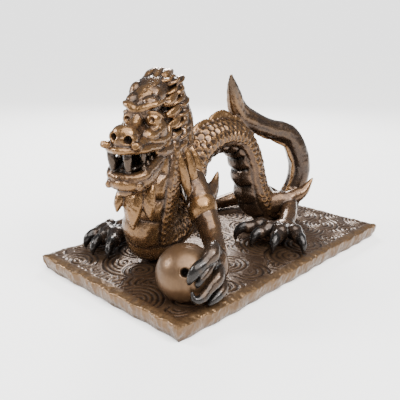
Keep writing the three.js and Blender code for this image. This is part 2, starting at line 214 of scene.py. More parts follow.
@dataclass
class Shape:
    """Closed skins as arrays: points in mm, four- and three-sided faces, and a tone per point."""

    points: np.ndarray
    quads: np.ndarray
    tris: np.ndarray
    tones: np.ndarray

    @staticmethod
    def joined(shapes: Sequence["Shape"]) -> "Shape":
        """Puts several shapes side by side in one.

        Args:
            shapes: the shapes.

        Returns:
            One shape.
        """
        starts = np.cumsum([0] + [len(s.points) for s in shapes])[:-1]
        return Shape(
            np.concatenate([s.points for s in shapes]),
            np.concatenate([s.quads + a for s, a in zip(shapes, starts)]),
            np.concatenate([s.tris + a for s, a in zip(shapes, starts)]),
            np.concatenate([s.tones for s in shapes]),
        )

    def moved(self, matrix: Matrix) -> "Shape":
        """Gives the shape turned and shifted by a matrix in mm."""
        m = np.array(matrix)
        return Shape(self.points @ m[:3, :3].T + m[:3, 3], self.quads, self.tris, self.tones)

    def mesh(self, name: str) -> bpy.types.Object:
        """Makes a Blender object of the shape, in metres, on top of the slab.

        Args:
            name: the object's name.

        Returns:
            The object, with the tones in its "tone" attribute.
        """
        data = bpy.data.meshes.new(name)
        data.vertices.add(len(self.points))
        places = self.points * MM + np.array([0.0, 0.0, SLAB_TOP])
        data.vertices.foreach_set("co", places.astype(np.float32).ravel())
        corners = np.concatenate([self.quads.ravel(), self.tris.ravel()]).astype(np.int32)
        four, three = len(self.quads), len(self.tris)
        data.loops.add(len(corners))
        data.loops.foreach_set("vertex_index", corners)
        data.polygons.add(four + three)
        begins = np.concatenate([np.arange(four) * 4, four * 4 + np.arange(three) * 3])
        data.polygons.foreach_set("loop_start", begins.astype(np.int32))
        data.update(calc_edges=True)
        set_field(data, "tone", self.tones)
        made = bpy.data.objects.new(name, data)
        bpy.context.scene.collection.objects.link(made)
        return made


def set_field(data: bpy.types.Mesh, name: str, values: np.ndarray) -> None:
    """Stores one number or one vector per vertex as a named attribute.

    Args:
        data: the mesh.
        name: the attribute's name.
        values: (n,) or (n, 3) numbers.
    """
    kind, key = ("FLOAT_VECTOR", "vector") if values.ndim == 2 else ("FLOAT", "value")
    layer = data.attributes.get(name) or data.attributes.new(name, kind, "POINT")
    layer.data.foreach_set(key, values.astype(np.float32).ravel())


def field(data: bpy.types.Mesh, name: str) -> np.ndarray:
    """Reads a named vector attribute.

    Args:
        data: the mesh.
        name: the attribute's name.

    Returns:
        (n, 3) numbers.
    """
    values = np.zeros(len(data.vertices) * 3, np.float32)
    data.attributes[name].data.foreach_get("vector", values)
    return values.reshape(-1, 3).astype(float)


def unit(v: np.ndarray) -> np.ndarray:
    """Scales vectors, one per row, to length 1."""
    return v / np.maximum(np.linalg.norm(v, axis=-1, keepdims=True), 1e-9)


def smooth_rows(rows: np.ndarray, t: np.ndarray) -> np.ndarray:
    """Reads a smooth run through rows of numbers.

    Args:
        rows: (n, k) numbers.
        t: places from 0 to n - 1.

    Returns:
        (len(t), k) numbers.
    """
    i = np.clip(np.floor(t).astype(int), 0, len(rows) - 2)
    u = (t - i)[:, None]
    a, b, c, d = (rows[np.clip(i + k, 0, len(rows) - 1)] for k in (-1, 0, 1, 2))
    curve = u * u * (a - 2.5 * b + 2 * c - 0.5 * d) + u**3 * (1.5 * (b - c) + 0.5 * (d - a))
    return b + 0.5 * u * (c - a) + curve


@dataclass
class Course:
    """A smooth run through stations, read at even steps of length."""

    places: np.ndarray
    ahead: np.ndarray
    up: np.ndarray
    side: np.ndarray
    half_widths: np.ndarray
    half_heights: np.ndarray
    run: np.ndarray
    station: np.ndarray

    @staticmethod
    def through(rows: Sequence[Row], outward: Outward, spacing: float) -> "Course":
        """Lays a course through stations [x, y, z, half width, half height].

        Args:
            rows: the stations.
            outward: the way the half height points, or a function that gives it from the
                running directions.
            spacing: the step between readings.

        Returns:
            The course.
        """
        table = np.array(rows, float)
        fine = np.linspace(0, len(table) - 1, (len(table) - 1) * 40 + 1)
        walk = smooth_rows(table, fine)[:, :3]
        steps = np.linalg.norm(np.diff(walk, axis=0), axis=1)
        length = np.concatenate([[0], np.cumsum(steps)])
        count = max(int(length[-1] / spacing), 4)
        run = np.linspace(0, length[-1], count + 1)
        t = np.interp(run, length, fine)
        read = smooth_rows(table, t)
        near = smooth_rows(table, np.clip(t - 0.05, 0, len(table) - 1))[:, :3]
        far = smooth_rows(table, np.clip(t + 0.05, 0, len(table) - 1))[:, :3]
        ahead = unit(far - near)
        if callable(outward):
            wanted = outward(ahead)
        else:
            wanted = np.broadcast_to(np.array(outward, float), ahead.shape)
        up = unit(wanted - (wanted * ahead).sum(1, keepdims=True) * ahead)
        side = np.cross(ahead, up)
        sizes = np.maximum(read[:, 3:5], 0.3)
        return Course(read[:, :3], ahead, up, side, sizes[:, 0], sizes[:, 1], run, t)

    def at(self, run: np.ndarray, values: np.ndarray) -> np.ndarray:
        """Reads vectors, one per ring of the course, at lengths along it."""
        return np.stack([np.interp(run, self.run, v) for v in values.T], -1)


def skin(rings: np.ndarray, tone: Tone) -> Shape:
    """Closes a stack of rings into one skin, with a pole at each end.

    Args:
        rings: (rings, sides, 3) points.
        tone: the skin's tone.

    Returns:
        The closed shape.
    """
    count, sides = rings.shape[:2]
    poles = np.stack([rings[0].mean(0), rings[-1].mean(0)])
    points = np.concatenate([rings.reshape(-1, 3), poles])
    r, s = np.meshgrid(np.arange(count - 1), np.arange(sides), indexing="ij")
    a, b = r * sides + s, r * sides + (s + 1) % sides
    quads = np.stack([a, b, b + sides, a + sides], -1).reshape(-1, 4)
    s = np.arange(sides)
    t = (s + 1) % sides
    start, end = np.full(sides, count * sides), np.full(sides, count * sides + 1)
    top = (count - 1) * sides
    tris = np.concatenate([np.stack([start, t, s], -1), np.stack([end, top + s, top + t], -1)])
    return Shape(points, quads, tris, np.tile(np.array(tone.value), (len(points), 1)))


def limb(
    rows: Sequence[Row],
    outward: Outward = UP,
    tone: Tone = Tone.PLAIN,
    blunt: bool = False,
    relief: Relief | None = None,
    spacing: float = 1.2,
    sides: int = 28,
) -> Shape:
    """Makes a tapering limb of oval section through stations.

    Args:
        rows: stations [x, y, z, half width, half height].
        outward: the way the half height points.
        tone: the limb's tone.
        blunt: whether its ends are rounded.
        relief: extra height in mm from the length run and the angle round from `outward`.
        spacing: the step between rings.
        sides: points in a ring.

    Returns:
        The closed shape.
    """
    c = Course.through(rows, outward, spacing)
    if blunt:
        c = rounded(c)
    angle = np.linspace(0, 2 * math.pi, sides, endpoint=False)
    high = np.zeros((len(c.run), sides)) if relief is None else relief(c.run[:, None], angle[None])
    tall = (c.half_heights[:, None] + high) * np.cos(angle)
    wide = (c.half_widths[:, None] + high) * np.sin(angle)
    rings = c.places[:, None] + tall[..., None] * c.up[:, None] + wide[..., None] * c.side[:, None]
    return skin(rings, tone)


def rounded(c: Course) -> Course:
    """Adds a rounded end to each end of a course.

    Args:
        c: the course.

    Returns:
        The longer course.
    """
    steps = np.linspace(0.12, 1, 7)[::-1]
    first, last = np.zeros(7, int), np.full(7, len(c.run) - 1)
    order = np.concatenate([first, np.arange(len(c.run)), last])
    reach = np.concatenate([-steps, np.zeros(len(c.run)), steps[::-1]])
    shrink = np.sqrt(np.maximum(1 - reach**2, 0.01))
    depth = 0.85 * np.minimum(c.half_widths, c.half_heights)[order] * reach
    return Course(
        c.places[order] + depth[:, None] * c.ahead[order],
        c.ahead[order],
        c.up[order],
        c.side[order],
        c.half_widths[order] * shrink,
        c.half_heights[order] * shrink,
        c.run[order] + depth,
        c.station[order],
    )


def egg(centre: Row, radii: Row, tone: Tone = Tone.PLAIN, lean: float = 0.0) -> Shape:
    """Makes an egg: a ball stretched to three radii and leaning about the Y axis.

    Args:
        centre: its middle.
        radii: its radii along X, Y and Z.
        tone: its tone.
        lean: how far it leans, in radians.

    Returns:
        The egg.
    """
    polar = np.linspace(0.06, math.pi - 0.06, 22)
    angle = np.linspace(0, 2 * math.pi, 32, endpoint=False)
    ring = np.stack([np.cos(angle), np.sin(angle), np.zeros(32)], -1)
    rings = ring[None] * np.sin(polar)[::-1, None, None]
    rings[..., 2] = np.cos(polar)[::-1, None]
    made = skin(rings * np.array(radii, float), tone)
    return made.moved(Matrix.Translation(Vector(centre)) @ Matrix.Rotation(lean, 4, "Y"))


def flutes(count: int, depth: float) -> Relief:
    """Scores grooves along a limb, as a comb drawn through soft clay leaves them.

    Args:
        count: how many grooves.
        depth: how deep.

    Returns:
        The relief, a function of the run and the angle.
    """

    def relief(run: np.ndarray, angle: np.ndarray) -> np.ndarray:
        """Gives the scored depth, with grooves that drift a little along the run."""
        drift = 0.25 * np.sin(run * 0.13) + 0.12 * np.sin(run * 0.37 + 1.0)
        return depth * (np.abs(np.sin(0.5 * count * (angle + drift))) ** 0.6 - 0.75)

    return relief


# ---- Clay work ----


def keep_result(thing: bpy.types.Object) -> bpy.types.Object:
    """Turns an object's modifiers into its plain mesh.

    Args:
        thing: the object.

    Returns:
        The same object.
    """
    graph = bpy.context.evaluated_depsgraph_get()
    made = bpy.data.meshes.new_from_object(thing.evaluated_get(graph), depsgraph=graph)
    old = thing.data
    thing.modifiers.clear()
    thing.data = made
    made.name = thing.name
    bpy.data.meshes.remove(old)
    return thing


def drop(thing: bpy.types.Object) -> None:
    """Deletes an object and its mesh.

    Args:
        thing: the object.
    """
    data = thing.data
    bpy.data.objects.remove(thing)
    bpy.data.meshes.remove(data)


def points_of(data: bpy.types.Mesh) -> np.ndarray:
    """Gives a mesh's points in mm above the slab.

    Args:
        data: the mesh.

    Returns:
        (n, 3) places.
    """
    flat = np.zeros(len(data.vertices) * 3, np.float32)
    data.vertices.foreach_get("co", flat)
    return (flat.reshape(-1, 3).astype(float) - [0, 0, SLAB_TOP]) / MM


def put_points(data: bpy.types.Mesh, points: np.ndarray) -> None:
    """Sets a mesh's points from mm above the slab.

    Args:
        data: the mesh.
        points: (n, 3) places.
    """
    places = points * MM + np.array([0.0, 0.0, SLAB_TOP])
    data.vertices.foreach_set("co", places.astype(np.float32).ravel())
    data.update()


def edge_ends(data: bpy.types.Mesh) -> tuple[np.ndarray, np.ndarray]:
    """Gives the two vertex numbers of each edge.

    Args:
        data: the mesh.

    Returns:
        The first ends and the second ends.
    """
    ends = np.zeros(len(data.edges) * 2, np.int32)
    data.edges.foreach_get("vertices", ends)
    return ends[::2], ends[1::2]


def evened(data: bpy.types.Mesh, values: np.ndarray, rounds: int) -> np.ndarray:
    """Averages values over each vertex and its neighbours.

    Args:
        data: the mesh.
        values: (n, k) numbers.
        rounds: how many times.

    Returns:
        (n, k) numbers.
    """
    a, b = edge_ends(data)
    n = len(data.vertices)
    share = 1.0 / (np.bincount(a, minlength=n) + np.bincount(b, minlength=n) + 1.0)
    for _ in range(rounds):
        total = values.copy()
        for k in range(values.shape[1]):
            total[:, k] += np.bincount(a, values[b, k], n) + np.bincount(b, values[a, k], n)
        values = total * share[:, None]
    return values


def normals_of(data: bpy.types.Mesh) -> np.ndarray:
    """Gives a mesh's vertex normals.

    Args:
        data: the mesh.

    Returns:
        (n, 3) directions.
    """
    flat = np.zeros(len(data.vertices) * 3, np.float32)
    data.vertex_normals.foreach_get("vector", flat)
    return flat.reshape(-1, 3).astype(float)


def glaze_carrier() -> bpy.types.NodeTree:
    """Builds the tree that takes tones, and glaze depth with its painted shade, from another mesh's
    nearest place.

    Returns:
        The tree, with the other object as its input "From".
    """
    tree, start = geometry_tree(
        "carry_glaze", {"From": "NodeSocketObject", "Material": "NodeSocketMaterial"}
    )
    source = add_node(tree, "GeometryNodeObjectInfo", links={"Object": start.outputs["From"]})
    geometry = start.outputs["Geometry"]
    for name, kind in (("tone", "FLOAT_VECTOR"), ("glaze_depth", "FLOAT")):
        read = add_node(tree, "GeometryNodeInputNamedAttribute", {"Name": name}, data_type=kind)
        near = add_node(
            tree,
            "GeometryNodeSampleNearestSurface",
            links={"Mesh": source.outputs["Geometry"], "Value": read.outputs[0]},
            data_type=kind,
        )
        stored = add_node(
            tree,
            "GeometryNodeStoreNamedAttribute",
            {"Name": name},
            {"Geometry": geometry, "Value": near.outputs[0]},
            data_type=kind,
            domain="POINT",
        )
        geometry = stored.outputs[0]
    close_tree(tree, start, geometry)
    return tree


@dataclass(frozen=True)
class HandWork:
    """The unevenness that fingers and wet clay leave: soft lumps with grit on them."""

    lump: float = 9.0  # mm across
    lump_height: float = 0.7
    grit: float = 1.9  # coarser than real grog, so that it shows
    grit_height: float = 0.3

    def tree(self) -> bpy.types.NodeTree:
        """Builds the tree that moves the surface in and out along its normal.

        Returns:
            The tree.
        """
        tree, start = geometry_tree(
            "hand_work",
            dict.fromkeys(("Lump", "Lump Height", "Grit", "Grit Height"), "NodeSocketFloat")
            | {"Material": "NodeSocketMaterial"},
        )
        normal = add_node(tree, "GeometryNodeInputNormal").outputs[0]
        worked = add_node(
            tree, "GeometryNodeInputNamedAttribute", {"Name": "worked"}, data_type="FLOAT"
        )
        geometry = start.outputs["Geometry"]
        for size, height in (("Lump", "Lump Height"), ("Grit", "Grit Height")):
            scale = add_node(
                tree, "ShaderNodeMath", {0: 1.0}, {1: start.outputs[size]}, operation="DIVIDE"
            )
            cloud = add_node(
                tree, "ShaderNodeTexNoise", {"Detail": 1.5}, {"Scale": scale.outputs[0]}
            )
            middle = add_node(
                tree, "ShaderNodeMath", {1: 0.5}, {0: cloud.outputs[0]}, operation="SUBTRACT"
            )
            tall = add_node(
                tree,
                "ShaderNodeMath",
                links={0: middle.outputs[0], 1: start.outputs[height]},
                operation="MULTIPLY",
            )
            share = add_node(
                tree,
                "ShaderNodeMath",
                links={0: tall.outputs[0], 1: worked.outputs[0]},
                operation="MULTIPLY",
            )
            offset = add_node(
                tree,
                "ShaderNodeVectorMath",
                links={0: normal, "Scale": share.outputs[0]},
                operation="SCALE",
            )
            moved = add_node(
                tree,
                "GeometryNodeSetPosition",
                links={"Geometry": geometry, "Offset": offset.outputs[0]},
            )
            geometry = moved.outputs[0]
        close_tree(tree, start, geometry)
        return tree

    def done(self, thing: bpy.types.Object, worked: np.ndarray | None = None) -> None:
        """Works an object's surface.

        Args:
            thing: the object.
            worked: how much at each vertex, or None for everywhere.
        """
        data = thing.data
        set_field(data, "worked", np.ones(len(data.vertices)) if worked is None else worked)
        run_tree(
            thing,
            WORK,
            Lump=self.lump * MM,
            Lump_Height=2 * self.lump_height * MM,
            Grit=self.grit * MM,
            Grit_Height=2 * self.grit_height * MM,
        )
        keep_result(thing)


@dataclass(frozen=True)
class Clay:
    """Soft clay: pieces are pressed together, smoothed, carved, then thinned to fewer faces."""

    grain: float = 0.8  # the smallest detail that it holds
    smoothing: int = 3
    work: HandWork = HandWork()
    most_faces: int = 190_000
    hollows: Rows = ((3, 0.9), (12, 0.7), (40, 0.5))  # rounds of averaging and their weight, for pooled glaze and painted shade
    contrast: float = 1.5  # how sharply the colour turns from thin glaze and painted highlight to pooled glaze and painted shade

    def fused(self, name: str, shapes: Sequence[Shape]) -> bpy.types.Object:
        """Presses shapes into one skin that keeps their tones.

        Args:
            name: the object's name.
            shapes: the shapes.

        Returns:
            The object, evenly meshed.
        """
        raw = Shape.joined(shapes).mesh(name + "_raw")
        set_field(raw.data, "glaze_depth", np.zeros(len(raw.data.vertices)))
        soft = bpy.data.objects.new(name, raw.data.copy())
        bpy.context.scene.collection.objects.link(soft)
        remesh = soft.modifiers.new("press", "REMESH")
        remesh.mode = "VOXEL"
        remesh.voxel_size = self.grain * MM
        remesh.use_smooth_shade = True
        run_tree(soft, CARRY, From=raw)
        keep_result(soft)
        drop(raw)
        if self.smoothing:
            put_points(soft.data, evened(soft.data, points_of(soft.data), self.smoothing))
        set_field(soft.data, "tone", evened(soft.data, field(soft.data, "tone"), 4))
        self.work.done(soft)
        return soft

    def glazed_and_shaded(self, thing: bpy.types.Object) -> bpy.types.Object:
        """Lets the glaze thin on high places and pool in low ones, which also paints highlight and
        shade.

        Args:
            thing: the fused object, carved and in place.

        Returns:
            The object, thinned, with "glaze_depth" from 0, thin glaze and painted highlight, to 1,
            pooled glaze and painted shade.
        """
        data = thing.data
        points, normals = points_of(data), normals_of(data)
        depth = np.zeros(len(points))
        # Hollows get pooled glaze and painted shade, ridges thin gold glaze and painted highlight.
        for rounds, weight in self.hollows:
            hollow = ((evened(data, points, rounds) - points) * normals).sum(1)
            depth += weight * hollow / self.grain
        depth = evened(data, depth[:, None], 1)[:, 0]
        set_field(data, "glaze_depth", 1 / (1 + np.exp(-self.contrast * depth)))
        faces = 2 * len(data.polygons)
        if faces <= self.most_faces:
            return thing
        full = bpy.data.objects.new(thing.name + "_full", data.copy())
        bpy.context.scene.collection.objects.link(full)
        fewer = thing.modifiers.new("fewer", "DECIMATE")
        fewer.ratio = self.most_faces / faces
        run_tree(thing, CARRY, From=full)
        keep_result(thing)
        drop(full)
        return thing


# Both trees are shared by every piece of clay.
CARRY = glaze_carrier()
WORK = HandWork().tree()


# ---- Finishes ----


@dataclass(frozen=True)
class LustreGlaze:
    """A stoneware glaze fired in smoke: a thin film of metal over brown glass.

    The film gives metal's coloured highlights and the glass a faint clear one over them. Where
    the glaze runs thin, on edges and knuckles, it turns gold, which also paints a highlight there.
    Where it pools it stays dark, which also paints shade into the hollows.
    """

    name: str
    # The thin-glaze colour is also a painted highlight on the ridges, and the pooled one a painted
    # shade in the hollows.
    thin_and_highlight: str = "6c4f30"
    body: str = "473527"
    pooled_and_shade: str = "1f1914"
    steel: str = "262321"
    mottle: float = 14.0  # mm across a cloud of thicker glaze
    speckle: float = 1.3  # mm across a speck
    clouded: float = 0.3  # how much the clouds change the glaze's depth
    specked: float = 0.22  # how much the specks change it
    gilding: float = -0.42  # how much thinner a golden place is
    smoking: float = 0.5  # how much thicker a sooty place is
    pit: float = 0.7  # mm across a pit in the glaze, coarser than a real one so that it shows
    pit_depth: float = 0.25
    metal: float = 0.8
    roughness: float = 0.27
    coat: float = 0.15
    shift: float = 0.0  # added all over to the glaze depth with its painted shade

    def material(self) -> bpy.types.Material:
        """Builds the shader, once for all pieces in this glaze.

        Returns:
            The material.
        """
        if self.name in bpy.data.materials:
            return bpy.data.materials[self.name]
        made = bpy.data.materials.new(self.name)
        made.use_nodes = True
        tree = made.node_tree
        tree.nodes.clear()
        place = add_node(tree, "ShaderNodeTexCoord").outputs["Object"]
        depth = add_node(tree, "ShaderNodeAttribute", attribute_name="glaze_depth").outputs["Fac"]
        tone = add_node(tree, "ShaderNodeAttribute", attribute_name="tone").outputs["Vector"]
        tones = add_node(tree, "ShaderNodeSeparateXYZ", links={0: tone}).outputs
        clouds = self.noise(tree, place, self.mottle, 3.0)
        specks = self.noise(tree, place, self.speckle, 2.0)
        pits = self.noise(tree, place, self.pit, 1.0)
        depth = self.summed(tree, depth, clouds, self.clouded, self.shift - self.clouded / 2)
        depth = self.summed(tree, depth, specks, self.specked, -self.specked / 2)
        depth = self.summed(tree, depth, tones[1], self.gilding, 0.0)
        depth = self.summed(tree, depth, tones[2], self.smoking, 0.0)
        ramp = add_node(tree, "ShaderNodeValToRGB", links={"Fac": depth})
        stops = ramp.color_ramp.elements
        # Gold on the ridges is partly painted highlight, dark in the hollows partly painted shade.
        stops[0].position, stops[0].color = 0.12, linear(self.thin_and_highlight)
        stops[1].position, stops[1].color = 0.88, linear(self.pooled_and_shade)
        middle = stops.new(0.46)
        middle.color = linear(self.body)
        steel = add_node(
            tree,
            "ShaderNodeMix",
            {7: linear(self.steel)},
            {0: tones[0], 6: ramp.outputs["Color"]},
            data_type="RGBA",
        )
        rough = add_node(
            tree,
            "ShaderNodeMapRange",
            {1: 0.3, 2: 0.75, 3: self.roughness - 0.1, 4: self.roughness + 0.16},
            {0: specks},
        )
        bump = add_node(
            tree,
            "ShaderNodeBump",
            {"Strength": 0.25, "Distance": self.pit_depth * MM},
            {"Height": pits},
        )
        values = {"Metallic": self.metal, "Coat Weight": self.coat}
        shader = add_node(
            tree,
            "ShaderNodeBsdfPrincipled",
            {**values, "Coat Roughness": 0.1, "Coat IOR": 1.5},
            {
                "Base Color": steel.outputs[2],
                "Roughness": rough.outputs[0],
                "Normal": bump.outputs[0],
            },
        )
        add_node(tree, "ShaderNodeOutputMaterial", links={"Surface": shader.outputs[0]})
        return made

    @staticmethod
    def noise(
        tree: bpy.types.NodeTree, place: bpy.types.NodeSocket, size: float, detail: float
    ) -> bpy.types.NodeSocket:
        """Lays a cloudy pattern of a real size in mm, from 0 to 1.

        Args:
            tree: the node tree.
            place: the place that it is laid by.
            size: the size of its clouds.
            detail: how many finer layers it has.

        Returns:
            Its value.
        """
        node = add_node(
            tree,
            "ShaderNodeTexNoise",
            {"Scale": 1 / (size * MM), "Detail": detail, "Roughness": 0.55},
            {"Vector": place},
        )
        return node.outputs["Fac"]

    @staticmethod
    def summed(
        tree: bpy.types.NodeTree,
        first: bpy.types.NodeSocket,
        second: bpy.types.NodeSocket,
        share: float,
        more: float,
    ) -> bpy.types.NodeSocket:
        """Gives first + second * share + more.

        Args:
            tree: the node tree.
            first: a value.
            second: another value.
            share: what the second is multiplied by.
            more: what is added.

        Returns:
            The sum.
        """
        scaled = add_node(
            tree, "ShaderNodeMath", {1: share, 2: more}, {0: second}, operation="MULTIPLY_ADD"
        )
        total = add_node(
            tree, "ShaderNodeMath", links={0: first, 1: scaled.outputs[0]}, operation="ADD"
        )
        return total.outputs[0]


# Brown and gold by turns, the gold partly a painted highlight and the dark partly painted shade,
# with wet highlights that break up over the carving.
BODY_GLAZE = LustreGlaze("bronze lustre glaze, smoke fired over carved stoneware")
# The same, sprinkled finely with gold.
HEAD_GLAZE = LustreGlaze("bronze lustre glaze, speckled with gold", specked=0.4, speckle=1.0)
# An even, soft sheen, as the ball was thrown smooth and rubbed.
PEARL_GLAZE = LustreGlaze(
    "satin lustre glaze on the thrown pearl",
    thin_and_highlight="705539",
    body="54402e",
    specked=0.1,
    pit=1.2,
    roughness=0.38,
    coat=0.05,
)
# Thicker and duller, so that only the ridges of the waves catch light.
SLAB_GLAZE = LustreGlaze(
    "dark lustre glaze on the wave-cut slab", thin_and_highlight="664e35", shift=0.08, roughness=0.36, coat=0.12
)


# ---- Pieces ----


@dataclass
class Piece:
    """One piece of the sculpture, with its glaze and its place in the frame."""

    name: str = ""
    slot: Slot = Slot.DRAGON
    stands_for: str = ""  # the plain solid that it replaces, if any
    glaze: LustreGlaze = BODY_GLAZE

    def dress(self, thing: bpy.types.Object) -> bpy.types.Object:
        """Gives a finished mesh its glaze and ties it to the frame.

        Args:
            thing: the piece's object.

        Returns:
            The same object.
        """
        thing.data.materials.clear()
        thing.data.materials.append(self.glaze.material())
        thing.data.polygons.foreach_set("use_smooth", np.ones(len(thing.data.polygons), bool))
        thing.data.update()
        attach(thing, "root")
        if self.stands_for:
            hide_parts(self.stands_for)
        return thing


@dataclass
class DragonPiece(Piece):
    """A piece of the dragon: soft shapes pressed into one skin, worked, carved, and glazed with
    painted shade and highlight.
    """

    clay: Clay = Clay()

    def shapes(self) -> list[Shape]:
        """Gathers the shapes that are pressed together."""
        raise NotImplementedError

    def carve(self, thing: bpy.types.Object) -> None:
        """Leaves the fused skin as it is, where a piece has nothing carved."""

    def build(self) -> bpy.types.Object:
        """Makes and dresses the piece.

        Returns:
            The object.
        """
        thing = self.clay.fused(self.name, self.shapes())
        self.carve(thing)
        put_points(thing.data, keep_clear(points_of(thing.data)))
        return self.dress(self.clay.glazed_and_shaded(thing))


def keep_clear(points: np.ndarray) -> np.ndarray:
    """Holds clay off the slab's top and off the pearl.

    Args:
        points: the clay's points.

    Returns:
        The points, moved to the nearest free place.
    """
    away = points - np.array(PEARL_PLACE)
    far = np.linalg.norm(away, axis=1, keepdims=True)
    clear = PEARL_RADIUS + TOUCH
    points = np.where(far < clear, np.array(PEARL_PLACE) + away / far * clear, points)
    points[:, 2] = np.maximum(points[:, 2], TOUCH)
    return points


# ---- The dragon's trunk ----


def back_of(ahead: np.ndarray) -> np.ndarray:
    """Points to the dragon's back from the running direction of its body."""
    return np.cross(np.array([0.0, 1.0, 0.0]), ahead)


@dataclass
class ScaleRows:
    """Rows of pressed scales, each a shallow tongue with a raised rim."""

    length: float = 8.6
    width: float = 6.9
    rim: float = 0.75
    tilt: float = 1.15  # how far its free end stands up
    root: float = 2.0  # how deep it reaches into the body
    smallest: float = 0.85
    largest: float = 1.12
    seed: int = 7

    def scale(self) -> Shape:
        """Makes one scale: its free end points along +X and its face along +Z.

        Returns:
            The closed shape, with its middle at the origin.
        """
        around = np.linspace(0, 2 * math.pi, 12, endpoint=False)
        reach = np.array([1.06, 0.9, 0.62, 0.25])[:, None]
        height = np.array([-0.4, self.rim, -0.1, 0.1])[:, None]
        rings = np.zeros((4, 12, 3))
        rings[..., 0] = reach * np.cos(around) * self.length / 2
        rings[..., 1] = reach * np.sin(around) * self.width / 2
        rings[..., 2] = height + self.tilt * np.cos(around) * reach
        low = rings[:1].copy()
        low[..., 2] = -self.root
        return skin(np.concatenate([low, rings]), Tone.BRONZE)

    def tree(self) -> bpy.types.NodeTree:
        """Builds the tree that lays a scale on every marked point.

        Returns:
            The tree.
        """
        tree, start = geometry_tree(
            "scale_rows",
            {
                "Scale": "NodeSocketObject",
                "Smallest": "NodeSocketFloat",
                "Largest": "NodeSocketFloat",
                "Seed": "NodeSocketInt",
                "Material": "NodeSocketMaterial",
            },
        )
        one = add_node(tree, "GeometryNodeObjectInfo", links={"Object": start.outputs["Scale"]})
        out, lie, size = (
            add_node(tree, "GeometryNodeInputNamedAttribute", {"Name": name}, data_type=kind)
            for name, kind in (("out", "FLOAT_VECTOR"), ("lie", "FLOAT_VECTOR"), ("size", "FLOAT"))
        )
        facing = add_node(
            tree, "FunctionNodeAlignRotationToVector", links={"Vector": out.outputs[0]}, axis="Z"
        )
        turned = add_node(
            tree,
            "FunctionNodeAlignRotationToVector",
            links={"Rotation": facing.outputs[0], "Vector": lie.outputs[0]},
            axis="X",
            pivot_axis="Z",
        )
        chance = add_node(
            tree,
            "FunctionNodeRandomValue",
            links={
                2: start.outputs["Smallest"],
                3: start.outputs["Largest"],
                "Seed": start.outputs["Seed"],
            },
            data_type="FLOAT",
        )
        scaled = add_node(
            tree,
            "ShaderNodeMath",
            links={0: chance.outputs[1], 1: size.outputs[0]},
            operation="MULTIPLY",
        )
        laid = add_node(
            tree,
            "GeometryNodeInstanceOnPoints",
            links={
                "Points": start.outputs["Geometry"],
                "Instance": one.outputs["Geometry"],
                "Rotation": turned.outputs[0],
                "Scale": scaled.outputs[0],
            },
        )
        close_tree(tree, start, laid.outputs[0])
        return tree

    def laid(
        self, places: np.ndarray, out: np.ndarray, lie: np.ndarray, size: np.ndarray
    ) -> Shape:
        """Presses one scale at each place.

        Args:
            places: where, in mm.
            out: the way each faces.
            lie: the way each one's free end points.
            size: each one's size, as a share of the full scale.

        Returns:
            All of them as one shape.
        """
        tree = self.tree()
        one = self.scale().mesh("scale")
        one.data.transform(Matrix.Translation((0, 0, -SLAB_TOP)))
        none = np.zeros((0, 4), int)
        marks = Shape(places, none, none[:, :3], np.zeros((len(places), 3))).mesh("scale_marks")
        set_field(marks.data, "out", out)
        set_field(marks.data, "lie", lie)
        set_field(marks.data, "size", size)
        run_tree(
            marks,
            tree,
            Scale=one,
            Smallest=self.smallest,
            Largest=self.largest,
            Seed=self.seed,
        )
        keep_result(marks)
        drop(one)
        shape = shape_of(marks)
        drop(marks)
        return shape


def shape_of(thing: bpy.types.Object) -> Shape:
    """Reads an object of three- and four-sided faces back into arrays.

    Args:
        thing: the object.

    Returns:
        Its shape.
    """
    data = thing.data
    corners = np.zeros(len(data.loops), np.int32)
    data.loops.foreach_get("vertex_index", corners)
    begins, sizes = np.zeros((2, len(data.polygons)), np.int32)
    data.polygons.foreach_get("loop_start", begins)
    data.polygons.foreach_get("loop_total", sizes)
    four = begins[sizes == 4][:, None] + np.arange(4)
    three = begins[sizes == 3][:, None] + np.arange(3)
    return Shape(points_of(data), corners[four], corners[three], field(data, "tone"))


